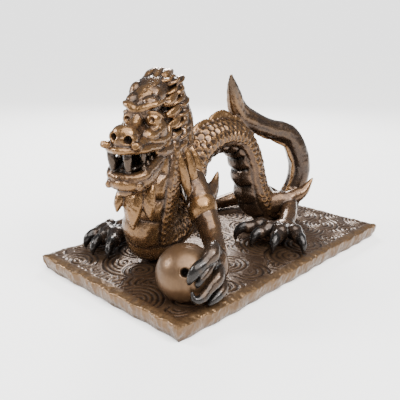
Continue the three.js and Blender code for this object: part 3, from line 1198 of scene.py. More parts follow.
@dataclass
class Trunk(DragonPiece):
    """Neck, chest, arched body, haunches and tail, with belly plates, crest and scales.

    Tables hold stations (x, y, z, half width, half height) along each part.
    """

    name: str = "dragon_trunk"
    stands_for: str = "dragon"
    clay: Clay = Clay(0.72, 2)
    spine: Rows = (
        (80, -2, 112, 15, 20),
        (86, 0, 96, 17, 22),
        (92, 2, 78, 18.5, 21.5),
        (95, 1, 60, 19, 22.5),
        (97, -1, 42, 19, 22),
        (94, -6, 28, 20, 21),
        (78, -11, 22, 20, 23),
        (61, -13, 25, 18, 21),
        (49, -13, 38, 16.5, 18),
        (45.5, -11, 56, 16, 17),
        (41, -10, 76, 16, 15.5),
        (29, -11, 92, 16, 15.5),
        (2, -13, 99, 16.5, 15.5),
        (-25, -12, 92, 16.5, 16),
        (-39, -10, 71, 17, 16.5),
        (-44, -8, 50, 17, 17),
        (-52, -6, 29, 18, 18),
        (-70, -3, 14, 18, 15),
        (-92, 4, 13, 14, 12),
        (-106, 8, 33, 12, 11.5),
        (-110, 9, 60, 12, 11.5),
        (-96, 3, 90, 10.5, 11),
        (-65, -8, 102, 9, 9.5),
        (-36, -16, 117, 8.5, 10.5),
        (-19, -12, 138, 5.5, 7.5),
        (-9.5, -7.5, 155, 1.2, 1.5),
    )
    collar: float = 5.2  # station where the neck's small scales end
    tail_root: float = 19.0  # station where the belly plates end
    plate_pitch: float = 17.0
    plate_half_angle: float = 0.95
    chest_half_angle: float = 1.4
    plate_rise: float = 3.6
    plate_edge: float = 1.3  # depth of the furrow beside the plates
    tail_furrow: float = 0.9
    crest: Rows = ((10.6, 17.2, 9, 2.6), (18.2, 22.4, 3.5, 1.8))
    crest_lobe: float = 27.0
    crest_sink: float = 0.72
    scale_rows: int = 6
    neck_rows: int = 13
    row_pitch: float = 5.3
    scale_pitch: float = 5.6
    neck_scale: float = 0.72
    nape: Rows = (
        (74, -9, 146, 11, 16),
        (73, -8, 126, 13, 23),
        (77, -5, 105, 15, 25),
        (74, -5, 86, 15, 23),
    )
    cape: Rows = (
        (63, -14, 152, 6, 8),
        (56, -18, 138, 5.5, 9),
        (49, -20, 121, 6, 10),
        (48, -17, 104, 9, 10),
        (50, -13, 87, 11, 8),
    )
    web: Rows = ((-54, -11, 104, 5, 2), (-47, -12, 94, 4, 2.4), (-40, -12, 84, 5, 2))
    strand_leans: Row = (2.0, 2.32, 2.64, 2.96)
    strand: Rows = (
        (155, 0.25, -1, 1.5),
        (146, 0.15, 1.5, 3.2),
        (128, 0.0, 2, 4.2),
        (108, -0.12, 2, 4.2),
        (92, -0.3, 1, 3.6),
        (80, -0.55, -1, 1.5),
    )  # height, drift round the nape, lift off it and half width
    lock: Rows = (
        (0, -1.0, 1.6, 4.0),
        (0.3, 0.2, 1.9, 5.4),
        (0.65, 0.9, 1.8, 4.2),
        (1, 0.6, 0.6, 0.7),
    )  # share of its length, lift, half width and half height
    lock_seed: int = 21

    def course(self) -> Course:
        """Lays the body's course."""
        return Course.through(self.spine, back_of, 1.0)

    def body(self, c: Course) -> Shape:
        """Makes the tube of the body, with cushioned plates under the belly.

        Args:
            c: the body's course.

        Returns:
            The closed shape, toned along its length.
        """
        angle = np.linspace(0, 2 * math.pi, 80, endpoint=False)[None]
        from_belly = np.abs(angle - math.pi)
        plated = np.interp(self.tail_root, c.station, c.run)
        run = c.run[:, None]
        share = (run / self.plate_pitch) % 1.0
        cushion = np.sin(math.pi * np.clip(share, 0, 1)) ** 0.7 * (0.75 + 0.35 * share) - 0.6
        half_angle = np.interp(run, (100, 160), (self.chest_half_angle, self.plate_half_angle))
        across = np.clip((half_angle - from_belly) / 0.22, 0, 1)
        ends = np.clip((plated - run) / 12, 0, 1)
        high = self.plate_rise * cushion * across * ends
        high -= self.plate_edge * np.exp(-(((from_belly - half_angle) / 0.07) ** 2)) * ends
        tail = np.clip((run - plated - 40) / 60, 0, 1)
        furrows = np.abs(np.sin(4 * angle + 0.035 * run)) ** 0.6 - 0.6
        high += tail * self.tail_furrow * furrows
        tall = (c.half_heights[:, None] + high) * np.cos(angle)
        wide = (c.half_widths[:, None] + high) * np.sin(angle)
        rings = c.places[:, None] + tall[..., None] * c.up[:, None]
        rings = rings + wide[..., None] * c.side[:, None]
        made = skin(rings, Tone.PLAIN)
        belly = np.interp(run, (130, 190), (0, 0.5)) * across * ends
        chest = np.interp(run, (110, 170), (0.3, 0)) * across
        tail_end = 0.5 * np.clip((run - plated - 110) / 60, 0, 1)
        tail_grey = np.interp(run - plated, (-20, 20, 110, 160), (0, 0.6, 0.45, 0))
        tip_grey = np.interp(c.run[-1] - run, (12, 34), (0.7, 0))
        tones = (np.maximum(tail_grey, tip_grey), np.maximum(tail_end, chest), belly)
        for k, tone in enumerate(tones):
            made.tones[: high.size, k] = (tone * np.ones_like(high)).ravel()
        return made

    def fin(self, c: Course, first: float, last: float, height: float, thick: float) -> Shape:
        """Makes a scalloped fin along the back.

        Args:
            c: the body's course.
            first: the station where it starts.
            last: the station where it ends.
            height: how far it stands up.
            thick: its half thickness.

        Returns:
            The closed shape.
        """
        start, end = np.interp([first, last], c.station, c.run)
        lobes = round((end - start) / self.crest_lobe)
        share = np.linspace(0, 1, int(end - start))
        run = start + (end - start) * share
        place, back = c.at(run, c.places), unit(c.at(run, c.up))
        half = np.interp(run, c.run, c.half_heights)
        swell = 0.35 + 0.65 * np.abs(np.sin(math.pi * lobes * share)) ** 0.7
        ends = np.minimum(1, 3 * np.minimum(share, 1 - share) + 0.25)
        low, high = half * self.crest_sink, half + height * swell * ends
        middle = place + back * ((low + high) / 2)[:, None]
        rows = np.column_stack([middle, np.full(len(run), thick), (high - low) / 2])
        return limb(rows[::3], back_of, Tone.GOLD, spacing=1.0, sides=24)

    def scales(self, c: Course) -> Shape:
        """Presses rows of scales on both flanks, from the crest to the smooth band.

        Args:
            c: the body's course.

        Returns:
            All scales as one shape.
        """
        collar, plated = np.interp((self.collar, self.tail_root - 0.1), c.station, c.run)
        places, outs, lies, sizes = [], [], [], []
        rows = [(row, collar, plated, 1.0) for row in range(self.scale_rows)]
        rows += [(row, 8.0, collar, self.neck_scale) for row in range(self.neck_rows)]
        for side in (1.0, -1.0):
            for row, first, last, share in rows:
                pitch = self.scale_pitch * share
                run = np.arange(first + 0.5 * (row % 2) * pitch, last, pitch)
                half = np.interp(run, c.run, (c.half_heights + c.half_widths) / 2)
                angle = side * (0.27 + (row * self.row_pitch * share) / half)
                keep = np.abs(angle) < np.interp(run, (100, 160), (1.6, 1.78))
                run, angle, half = run[keep], angle[keep], half[keep]
                place, ahead = c.at(run, c.places), unit(c.at(run, c.ahead))
                up, across = unit(c.at(run, c.up)), unit(c.at(run, c.side))
                tall = np.interp(run, c.run, c.half_heights)[:, None]
                wide = np.interp(run, c.run, c.half_widths)[:, None]
                cos, sin = np.cos(angle)[:, None], np.sin(angle)[:, None]
                places.append(place + up * tall * cos + across * wide * sin)
                outs.append(unit(up * cos / tall + across * sin / wide))
                lies.append(ahead)
                sizes.append(share * np.clip(half / 16.5, 0.62, 1.05))
        return ScaleRows().laid(*(np.concatenate(v) for v in (places, outs, lies, sizes)))

    def nape_place(self, up: float, angle: float, side: int, lift: float) -> Row:
        """Finds a place on the nape.

        Args:
            up: its height.
            angle: the angle from the nape's front.
            side: 1 for the left, -1 for the right.
            lift: how far it stands off the surface.

        Returns:
            The place.
        """
        levels = np.array(self.nape[::-1], float)
        x, y, wide, long = (np.interp(up, levels[:, 2], levels[:, k]) for k in (0, 1, 3, 4))
        return (x + (long + lift) * math.cos(angle), y + side * (wide + lift) * math.sin(angle), up)

    def strands(self) -> list[Shape]:
        """Lays the long strands that fall from the crown to the shoulders.

        Returns:
            The strands of both sides.
        """
        made = []
        for side in (1, -1):
            for k, lean in enumerate(self.strand_leans):
                rows = []
                for up, drift, lift, wide in self.strand:
                    place = self.nape_place(up, lean + drift, side, lift)
                    rows.append((*place[:2], up - 2 * k, wide, 2.6))
                away = (math.cos(lean), side * math.sin(lean), 0.0)
                tone = Tone.GOLD if k % 2 else Tone.BRONZE
                made.append(limb(rows, away, tone, relief=flutes(6, 0.6), sides=24))
        return made

    def locks(self) -> list[Shape]:
        """Lays the overlapping locks that sweep back over the nape.

        Returns:
            The locks of both sides.
        """
        made = []
        chance = np.random.default_rng(self.lock_seed)
        for tier, up in enumerate(np.arange(150, 84, -8.5)):
            for side in (1, -1):
                for lean in np.arange(0.7 + 0.25 * (tier % 2), 1.75, 0.5):
                    rows = []
                    for share, lift, wide, tall in self.lock:
                        place = self.nape_place(up, lean + 0.95 * share, side, lift)
                        rise = 7 * share + chance.normal(0, 0.5)
                        rows.append((*place[:2], up + rise, wide, tall))
                    away = (math.cos(lean + 0.3), side * math.sin(lean + 0.3), 0.0)
                    tone = (Tone.BRONZE, Tone.PLAIN, Tone.MOTTLED)[chance.integers(3)]
                    made.append(limb(rows, away, tone, relief=flutes(7, 0.5), sides=20))
        return made

    def shapes(self) -> list[Shape]:
        """Gathers all the trunk's shapes.

        Returns:
            The shapes.
        """
        c = self.course()
        return [
            self.body(c),
            *(self.fin(c, *row) for row in self.crest),
            self.scales(c),
            limb(self.web, (0, 1, 0), Tone.SOOT, blunt=True),
            limb(self.nape, FORWARD, blunt=True, relief=flutes(14, 1.0)),
            limb(self.cape, back_of, Tone.GOLD, blunt=True, relief=flutes(9, 2.2)),
            *self.strands(),
            *self.locks(),
        ]


# ---- Legs ----


@dataclass(frozen=True)
class Foot:
    """A splayed foot: a palm, toes that arch over a knuckle to a claw, and a hind claw."""

    core: Row
    palm: Row
    tips: tuple[Row, ...]
    heel: Row
    knuckle_height: float
    girth: float
    toe_table: Rows = (
        (0.34, 0.92, 1.1, 1.1),
        (0.50, 1, 1.5, 1.42),
        (0.64, 0.93, 1.12, 1.1),
        (0.76, 0.86, 1.15, 1.1),
    )  # share of its length, of its height, and half width and half height in girths
    claw_table: Rows = (
        (0.68, 0.86, 0.8, 0.85),
        (0.82, 0.92, 0.84, 0.92),
        (0.94, 0.68, 0.7, 0.78),
        (1.0, 0.3, 0.4, 0.45),
    )
    heel_table: Rows = ((0, 0, 5), (0.45, 3, 4.6), (0.8, 1.6, 3), (1.05, -1, 0.8))

    def toe(self, tip: Row) -> list[Shape]:
        """Makes one toe with its knuckle and claw.

        Args:
            tip: where the claw meets the slab.

        Returns:
            The toe and its claw.
        """
        start, end = np.array(self.core, float), np.array(tip, float)
        top, girth = self.knuckle_height - self.girth, self.girth
        flesh, claw = (
            [
                (*(start + (end - start) * share)[:2], top * up, wide * girth, tall * girth)
                for share, up, wide, tall in table
            ]
            for table in (self.toe_table, self.claw_table)
        )
        flesh = [(*start, 1.1 * girth, 1.1 * girth), *flesh]
        return [
            limb(flesh, UP, Tone.PEWTER, blunt=True, spacing=0.9),
            limb([*claw, (*end, 0.8, 0.8)], UP, Tone.STEEL, spacing=0.8),
        ]

    def shapes(self) -> list[Shape]:
        """Gathers the foot's shapes.

        Returns:
            The palm, the hind claw and the toes.
        """
        core, end = np.array(self.core, float), np.array(self.heel, float)
        rows = [
            (*(core + (end - core) * share + [0, 0, rise]), wide, wide)
            for share, rise, wide in self.heel_table
        ]
        heel = limb(rows, UP, Tone.PEWTER)
        toes = [shape for tip in self.tips for shape in self.toe(tip)]
        return [egg(self.core, self.palm), heel, *toes]


@dataclass
class Legs(DragonPiece):
    """Four legs, each with a full upper part, a flame-like spur and a clawed foot.

    Tables hold stations (x, y, z, half width, half height) from the body outwards.
    """

    name: str = "dragon_legs"
    clay: Clay = Clay(0.62, 2, HandWork(lump_height=0.6, grit_height=0.16))
    right_shoulder: Rows = ((50, -13, 82, 10, 9), (53, -18, 68, 12, 11), (50, -25, 54, 13, 12))
    right_elbow: Lump = ((47, -27, 50), (14, 10.5, 13.5))
    right_muscle: Lump = ((39, -30, 54), (19, 10.5, 16.5))
    right_muscle_lean: float = 0.25
    right_fore_spur: Rows = (
        (50, -28, 53, 9, 13),
        (32, -31, 58, 8, 11),
        (16, -34, 65, 6.5, 7.5),
        (5, -36, 74, 4, 4.4),
        (-2, -37.5, 82, 0.8, 0.8),
    )
    right_forearm: Rows = ((50, -30, 46, 9, 9), (54, -42, 28, 7, 7.5), (62, -61, 9, 7, 7))
    right_fore_foot: Foot = Foot(
        core=(72, -66, 11),
        palm=(15, 11, 9),
        tips=((96, -80, 0), (113, -72, 0), (118, -54, 0), (114, -37, 0)),
        heel=(53, -74, 2),
        knuckle_height=18.5,
        girth=5.6,
    )
    left_shoulder: Rows = ((50, -6, 84, 10, 9), (57, 8, 72, 11, 11), (62, 22, 58, 12, 12))
    left_elbow: Lump = ((64, 28, 50.5), (13, 12, 14))
    left_fore_spur: Rows = (
        (62, 27, 56, 7, 10),
        (52, 25, 61, 6.5, 8),
        (43, 22, 67, 4, 5),
        (37, 20, 76, 0.8, 0.8),
    )
    left_forearm: Rows = (
        (64, 30, 47, 11, 11),
        (69, 41, 37, 10, 9.5),
        (77, 53, 29, 9, 8.5),
        (88, 64, 26, 10, 9.5),
    )
    shoulder_strands: tuple[Rows, ...] = (
        ((70, 8, 108, 1.5, 1.5), (68, 14, 92, 4, 3), (65, 17, 76, 4.4, 3), (61, 18, 62, 2, 1.5)),
        ((80, 12, 104, 1.5, 1.5), (79, 17, 88, 3.8, 3), (75, 19, 72, 4, 3), (71, 21, 58, 1.5, 1.2)),
        (
            (60, 4, 106, 1.5, 1.5),
            (57, 10, 92, 4, 3.4),
            (54, 14, 78, 4.4, 3.4),
            (52, 15, 64, 2, 1.5),
        ),
    )
    left_palm: Lump = ((91, 68, 19), (11, 9, 15))
    fingers: tuple[Rows, ...] = (
        (
            (91, 66, 31, 5.6, 5.6),
            (103, 75.5, 41, 4.8, 4.8),
            (110.5, 80.5, 39, 6.2, 6.2),
            (117.4, 80.8, 35.5, 4.2, 4.2),
            (124.2, 79.6, 31.5, 4.8, 4.6),
            (128, 78.2, 26.5, 3.8, 3.8),
            (129.4, 76.4, 20.4, 1.0, 1.0),
        ),
        (
            (95, 70, 24, 5, 5),
            (109.5, 79, 30, 3.4, 3.4),
            (115, 80.6, 27.4, 3.6, 3.6),
            (120.4, 80.6, 23.6, 2.9, 2.9),
            (123.0, 79.8, 20, 2.2, 2.2),
            (123.2, 78.6, 16.6, 0.8, 0.8),
        ),
        (
            (93, 71, 15, 5.6, 5.6),
            (101, 79.5, 22, 4.6, 4.6),
            (107.3, 83, 19.5, 5.4, 5.4),
            (115.2, 83, 14.5, 3.8, 3.8),
            (121.8, 82.4, 9.6, 3.6, 3.6),
            (127.0, 80.8, 9.6, 2.9, 2.9),
            (128.6, 78.6, 15.6, 0.8, 0.8),
        ),
        (
            (90, 70, 8, 5, 5),
            (98, 81, 9.5, 4.6, 4.6),
            (104.5, 83.2, 7.4, 4.6, 4.6),
            (110.6, 83.6, 5, 3.4, 3.4),
            (116, 83.2, 2, 1.1, 1.1),
        ),
    )
    right_haunch: Rows = ((-68, -8, 15, 13, 12), (-90, -20, 17, 12, 12), (-110, -33, 17, 9, 9.5))
    right_hind_spur: Rows = (
        (-111, -34, 18, 8, 8.5),
        (-125, -27, 12, 5.5, 5.5),
        (-133, -17, 1, 0.8, 0.8),
    )
    right_shank: Rows = (
        (-113, -35, 18, 9, 8.5),
        (-97, -48, 14, 8.5, 9),
        (-76, -60, 9.5, 8, 8),
        (-56, -65, 8, 7.5, 6.5),
        (-42, -63, 9, 8, 7),
    )
    right_hind_foot: Foot = Foot(
        core=(-34, -61, 11),
        palm=(15, 12, 10),
        tips=((-12, -76, 0), (8, -75, 0), (13, -58, 0), (4, -44, 0)),
        heel=(-50, -79, 2),
        knuckle_height=22,
        girth=5.8,
    )
    left_haunch: Rows = ((-60, -2, 18, 13, 12), (-68, 10, 24, 12, 12), (-76, 20, 26, 10, 10.5))
    left_hind_spur: Rows = ((-76, 21, 28, 8, 9), (-91, 28, 35, 6, 6), (-101, 33, 49, 0.8, 0.8))
    left_shank: Rows = ((-76, 21, 24, 9, 9), (-62, 31, 17, 8.5, 8), (-46, 39, 12, 8, 8))
    left_hind_foot: Foot = Foot(
        core=(-38, 43, 11),
        palm=(12, 14, 9),
        tips=((-2, 11, 0), (2, 34, 0), (2, 58, 0), (-17, 78, 0)),
        heel=(-56, 56, 2),
        knuckle_height=20,
        girth=5.6,
    )

    def right_fore(self) -> list[Shape]:
        """Makes the right foreleg, planted out to the side.

        Returns:
            Its shapes.
        """
        return [
            limb(self.right_shoulder, FORWARD, blunt=True),
            egg(*self.right_elbow, Tone.GOLD),
            egg(*self.right_muscle, Tone.GOLD, self.right_muscle_lean),
            limb(self.right_fore_spur, UP, relief=flutes(7, 0.5)),
            limb(self.right_forearm, FORWARD),
            *self.right_fore_foot.shapes(),
        ]

    def left_fore(self) -> list[Shape]:
        """Makes the left foreleg, whose toes clasp the pearl.

        Returns:
            Its shapes, with three strands of the mane on its shoulder.
        """
        out = (-0.5, 0.8, 0.4)
        aside = (0.5, 0.85, 0.0)
        return [
            limb(self.left_shoulder, FORWARD, blunt=True),
            egg(*self.left_elbow, Tone.GOLD),
            limb(self.left_fore_spur, UP, relief=flutes(7, 0.5)),
            limb(self.left_forearm, FORWARD),
            *(
                limb(rows, aside, Tone.GOLD, relief=flutes(7, 0.6))
                for rows in self.shoulder_strands
            ),
            egg(*self.left_palm),
            *(limb(r[:-2], out, Tone.PEWTER, blunt=True, spacing=0.8) for r in self.fingers),
            *(limb(r[2:], out, Tone.STEEL, spacing=0.8) for r in self.fingers),
        ]

    def right_hind(self) -> list[Shape]:
        """Makes the right hind leg, laid along the slab.

        Returns:
            Its shapes.
        """
        return [
            limb(self.right_haunch, UP, blunt=True),
            limb(self.right_hind_spur, UP),
            limb(self.right_shank, UP, blunt=True),
            *self.right_hind_foot.shapes(),
        ]

    def left_hind(self) -> list[Shape]:
        """Makes the left hind leg, drawn up with its spur raised.

        Returns:
            Its shapes.
        """
        return [
            limb(self.left_haunch, UP, blunt=True),
            limb(self.left_hind_spur, UP),
            limb(self.left_shank, UP, blunt=True),
            *self.left_hind_foot.shapes(),
        ]

    def shapes(self) -> list[Shape]:
        """Gathers the shapes of all four legs."""
        return [*self.right_fore(), *self.left_fore(), *self.right_hind(), *self.left_hind()]


# ---- The head ----


@dataclass
class Head(DragonPiece):
    """The head with open jaws, drawn in its own frame: forward, left, up from between the eyes.

    Tables hold stations (forward, left, up, half width, half height). Those that a method makes
    on both sides are given for the left.
    """

    name: str = "dragon_head"
    glaze: LustreGlaze = HEAD_GLAZE
    clay: Clay = Clay(0.45, 3, HandWork(lump=6.0, lump_height=0.45, grit=1.5, grit_height=0.24))
    place: Row = (110, 4.5, 125)
    turn: float = 26.0  # degrees towards the dragon's left
    dome: Rows = (
        (4, 1.5, 5, 10.5, 7),
        (-7, 0.5, 11.5, 13, 10.5),
        (-21, 0, 18.5, 14, 12.5),
        (-36, 0, 22.5, 12, 11.5),
        (-48, 0, 24, 8, 10),
    )
    muzzle: Rows = (
        (-10, 0, -10, 14, 12),
        (6, 1, -8, 10, 8),
        (17, 0, -9, 9, 7),
        (26, 0, -9, 10, 8),
        (31, 0, -11.5, 8.5, 6),
    )
    bridge: Rows = ((24, 0, -5, 6, 3), (15, 1, -3.5, 5, 4), (8, 1.8, 1, 4.2, 5), (4, 2, 7, 4, 4))
    skull_mass: Lump = ((-14, 0, -10), (19, 15, 24))
    nose: Lump = ((26.5, 0, -6.5), (8.5, 9.5, 7.2))
    lumps: tuple[Lump, ...] = (
        ((17, 0, -13.5), (18, 14.5, 6)),
        ((5, 8.5, -9.5), (11, 8.5, 5.6)),  # cheeks
        ((5, -7, -9.5), (11, 8.5, 5.6)),
        ((-8, 12, -8), (10, 6.5, 9)),
        ((-8, -12, -8), (10, 6.5, 9)),
        ((-1, -4.2, 17), (2.2, 2.2, 2.2)),  # the knob over the right eye
    )
    nose_wings: tuple[Lump, ...] = (
        ((29.5, 6, -9.8), (5.6, 5, 4.8)),
        ((29.5, -5.4, -8), (5.6, 5, 4.8)),
    )
    upper_lip: Rows = (
        (-14, 15.5, -14, 2.4, 2.6),
        (-4, 16, -17.2, 3.2, 3),
        (6, 15.8, -18.4, 3.4, 2.8),
        (16, 14.5, -17.6, 4, 3),
        (26, 11.5, -17.4, 4.6, 3),
        (34, 0, -17.2, 4.6, 3.1),
    )
    upper_flare: Rows = ((27, 8.8, -16, 5.6, 4.2), (36.6, 12.9, -12.8, 2.5, 2.5))
    lower_lip: Rows = (
        (-24, 15.5, -24, 1, 1.6),
        (-10, 15, -27.5, 3.4, 3.6),
        (5, 14.8, -30.6, 3.8, 4),
        (16, 13.8, -33.4, 4.2, 4),
        (25, 11, -37.4, 4.8, 4.4),
        (29.5, 0, -39.4, 4.6, 4.8),
    )
    lower_flare: Rows = ((22, 9.5, -41, 5.4, 5.2), (31.5, 13.1, -44.4, 2.0, 2.4))
    jaw_wall: Rows = (
        (-14, 13.5, -31, 3, 5),
        (2, 14, -35.5, 4.2, 6.2),
        (15, 13, -39.2, 5, 7),
        (25, 9, -42, 6.2, 6),
        (29.5, 0, -42.6, 6, 5.4),
    )
    jaw_floor: Rows = (
        (-14, 0, -36, 13, 7),
        (4, 0, -43, 12.5, 6),
        (19, 0, -48, 10, 4.6),
        (28, 0, -49, 6.5, 3.4),
    )
    tongue: Rows = (
        (-12, 0, -26, 11, 6),
        (4, 0, -29.5, 10.5, 5),
        (16, -1, -32.5, 9, 4),
        (26, -3, -34, 5, 2.6),
    )
    fangs: tuple[tuple[Row, Row, float], ...] = (
        ((27, -10.8, -18), (-1.5, 1.6, -19), 3.3),
        ((28, 2.2, -19), (-2.5, 0.8, -20), 3.1),
        ((20, 11.5, -19), (-1.5, -0.6, -11), 2.2),
    )  # root, reach and half thickness
    fang_taper: Rows = ((0, 1.0), (0.35, 1.0), (0.7, 0.78), (1.0, 0.2))
    fang_bow: float = 1.4
    brow: Rows = (
        (0.5, -12.8, 13.2, 0.9, 0.9),
        (2.6, -9.4, 12.4, 3.4, 2.5),
        (4.6, -5, 10.8, 4.6, 3.3),
        (5.8, 0.5, 7.6, 4.4, 4.2),
        (4.4, 6, 9.8, 4.6, 3.3),
        (2.2, 11, 11.8, 4.2, 2.8),
        (-2, 15, 13.4, 3, 2.2),
        (-10, 17.4, 15.4, 0.9, 0.9),
    )
    frown: Rows = (
        (6, 0.5, 8, 4, 2),
        (0, 1, 15.5, 7, 2.6),
        (-8, 1.5, 22, 8, 3),
        (-20, 2, 28, 7, 3),
        (-32, 1, 31.5, 3, 2),
    )
    swells: tuple[Lump, ...] = (
        ((-3.5, -5.5, 14), (8, 6.5, 6)),
        ((-3, 8, 14), (8, 7.5, 4.6)),
        ((-14, -7, 19), (10, 6.5, 9)),
    )
    smooth_swell: Lump = ((-15, 7.5, 18), (11, 7.5, 8))
    eye: Lump = ((2.4, 0, 1.4), (6.6, 6.2, 6.2))
    eye_middles: Row = (12, -6.2)  # how far left, the left eye first
    lids: tuple[Rows, ...] = (
        (
            (3.5, -5.8, -1, 0.8, 0.8),
            (6.2, -3, -4.5, 1.7, 1.5),
            (6, 2.5, -5, 1.7, 1.5),
            (1, 6.2, -1.4, 0.8, 0.8),
        ),
        (
            (4, -5.8, 3, 0.8, 0.8),
            (6.4, -2, 6.6, 1.6, 1.3),
            (4.4, 3.8, 6.4, 1.6, 1.3),
            (-1.5, 6.6, 2.4, 0.8, 0.8),
        ),
    )  # from the eye's middle
    cheek_fold: Rows = (
        (14, 1, -2.4, 0.8, 0.8),
        (13, 4.5, -4.4, 2.1, 1.9),
        (10.5, 9.5, -7.4, 2.5, 2.1),
        (2, 14.5, -8, 2.6, 2.2),
        (-8, 16.8, -5.5, 1.2, 1.2),
    )
    snarl_fold: Rows = (
        (20, 8.5, -9.6, 0.8, 0.8),
        (14, 12, -12.2, 1.9, 1.6),
        (5.5, 14.8, -14, 2.5, 2.1),
        (-6, 17, -14.6, 2.7, 2.4),
        (-14, 17.6, -12, 2.6, 3),
        (-17, 17, -5.5, 1.6, 2),
    )
    holes: tuple[tuple[Row, Row, float, float], ...] = (
        ((34.4, 6.0, -9.6), (-1, -0.1, 0.1), 2.7, 5.5),  # nostrils
        ((34.4, -5.2, -7.8), (-1, 0.1, 0.1), 2.3, 5.0),
        ((8.5, 13.2, 1.7), (-0.95, -0.25, 0), 2.0, 2.6),  # pupils
        ((8.8, -6.4, 1.7), (-0.98, 0.1, 0), 2.0, 2.6),
        ((-16, 13.2, 13), (0.1, -0.9, -0.3), 1.9, 2.2),  # temples
        ((-18, -13.2, 9), (0.1, 0.9, -0.3), 1.9, 2.2),
    )  # middle, way in, radius and depth
    horn: Rows = (
        (-27, 5.5, 26.5, 2, 2),
        (-34, 6.5, 30, 4.5, 4.5),
        (-44, 6.8, 33, 3.6, 3.8),
        (-54, 6, 34.5, 1.2, 1.4),
    )
    crown: Rows = (
        (-17, 4.2, 26.5, 1.4, 1.4),
        (-26, 3.4, 32, 2.5, 2.4),
        (-37, 2.2, 35.6, 2.4, 2.2),
        (-49, 3.2, 35.5, 0.7, 0.8),
    )
    ear_fronts: Rows = ((-14, 13), (-18, 4), (-17, -5))  # forward and up, from the top one down
    ear: Rows = (
        (0, 13, -2, 2.2, 2),
        (-8, 16.5, 0, 2.6, 4.2),
        (-15, 17.5, 3, 2, 3),
        (-22, 17.5, 7, 0.7, 0.7),
    )  # from its front
    leaf: Rows = (
        (4, 13.5, -22.5, 1.5, 1.5),
        (-5, 17, -24.5, 2.4, 4.4),
        (-15, 19, -24, 2.4, 4),
        (-25, 20, -19.5, 0.8, 0.8),
    )
    jowl_middle: Row = (-30, -12)
    jowl_leans: Row = tuple(np.linspace(-3.5, -0.9, 8))
    jowl: Rows = ((3, 15, 3, 3.4), (11, 17.5, 3, 3.8), (18, 15, 1, 1.2))  # out, left and sizes
    jowl_disc: Lump = ((-30, 12.5, -12), (15, 5.5, 15))
    whisker: Rows = (
        (-13, -17.5, -12, 1.4, 1.4),
        (-20, -19, -13.2, 1.2, 1.2),
        (-28, -19.5, -15.5, 1.1, 1.1),
        (-34, -19, -19, 0.7, 0.7),
    )
    beard_locks: tuple[tuple[Row, Row, float, Tone], ...] = (
        ((113, 6, 80), (122, 9, 41), 10.5, Tone.GOLD),
        ((109, -4, 80), (128, -4, 54), 5.5, Tone.BRONZE),
        ((109, 15, 82), (114, 22, 50), 7.5, Tone.BRONZE),
    )  # root and tip in the dragon's frame, and half width
    beard_taper: Rows = ((0, 0.85, 4), (0.35, 1, 4.6), (0.7, 0.8, 4), (1, 0.09, 0.9))
    beard_bow: float = 4.0

    def fold(self, rows: Sequence[Row], tone: Tone = Tone.PLAIN, **more: object) -> Shape:
        """Makes a fold of the head through stations."""
        return limb(rows, UP, tone, spacing=0.7, sides=20, **more)

    def both(self, rows: Sequence[Row], tone: Tone = Tone.PLAIN, **more: object) -> list[Shape]:
        """Makes a fold on the left and its mirror image on the right.

        Args:
            rows: the left one's stations.
            tone: their tone.
            more: further settings of the limb.

        Returns:
            The left one and the right one.
        """
        return [
            self.fold([(f, left * side, *rest) for f, left, *rest in rows], tone, **more)
            for side in (1, -1)
        ]

    def skull(self) -> list[Shape]:
        """Makes the dome, the muzzle, the nose, the cheeks and the mass between them.

        Returns:
            The shapes.
        """
        return [
            self.fold(self.dome, Tone.MOTTLED, blunt=True),
            self.fold(self.muzzle, blunt=True),
            egg(*self.nose, Tone.BRONZE),
            self.fold(self.bridge, Tone.BRONZE, blunt=True),
            *(egg(*lump, Tone.BRONZE) for lump in self.lumps),
            egg(*self.skull_mass),
        ]

    def lip(self, half: Rows, flare: Rows, tone: Tone) -> list[Shape]:
        """Makes a lip from cheek to cheek that flares at its front corners.

        Args:
            half: its stations from the left cheek to the front.
            flare: the stations of the left flare.
            tone: the lip's tone.

        Returns:
            The lip and its two flares.
        """
        other = [(f, -left, *rest) for f, left, *rest in half[-2::-1]]
        return [self.fold([*half, *other], tone), *self.both(flare, tone)]

    def mouth(self) -> list[Shape]:
        """Makes both lips, the deep jaw, the tongue and the teeth.

        Returns:
            The shapes.
        """
        return [
            *self.lip(self.upper_lip, self.upper_flare, Tone.BRONZE),
            *self.lip(self.lower_lip, self.lower_flare, Tone.PLAIN),
            *self.both(self.jaw_wall, Tone.BRONZE, blunt=True),
            self.fold(self.jaw_floor, blunt=True),
            self.fold(self.tongue, Tone.SOOT, blunt=True),
            *(self.fang(*row) for row in self.fangs),
            *(self.fang((14 - 5 * k, 12 - k, -18.5), (-1, 0, -6), 1.7) for k in range(3)),
            *(
                self.fang((21 - 7 * k, 12.4 * side, -33 + 2 * k), (0.5, 0, 5), 1.8)
                for side in (-1, 1)
                for k in range(3)
            ),
        ]

    def fang(self, root: Row, reach: Row, thick: float) -> Shape:
        """Makes a curved tooth.

        Args:
            root: where it starts.
            reach: the way from its root to its tip.
            thick: its half thickness at the root.

        Returns:
            The tooth.
        """
        rows = []
        for share, wide in self.fang_taper:
            place = [r + a * share for r, a in zip(root, reach)]
            place[0] += self.fang_bow * math.sin(math.pi * share)
            rows.append((*place, thick * wide, thick * wide))
        return limb(rows, FORWARD, Tone.TOOTH, spacing=0.6, sides=16)

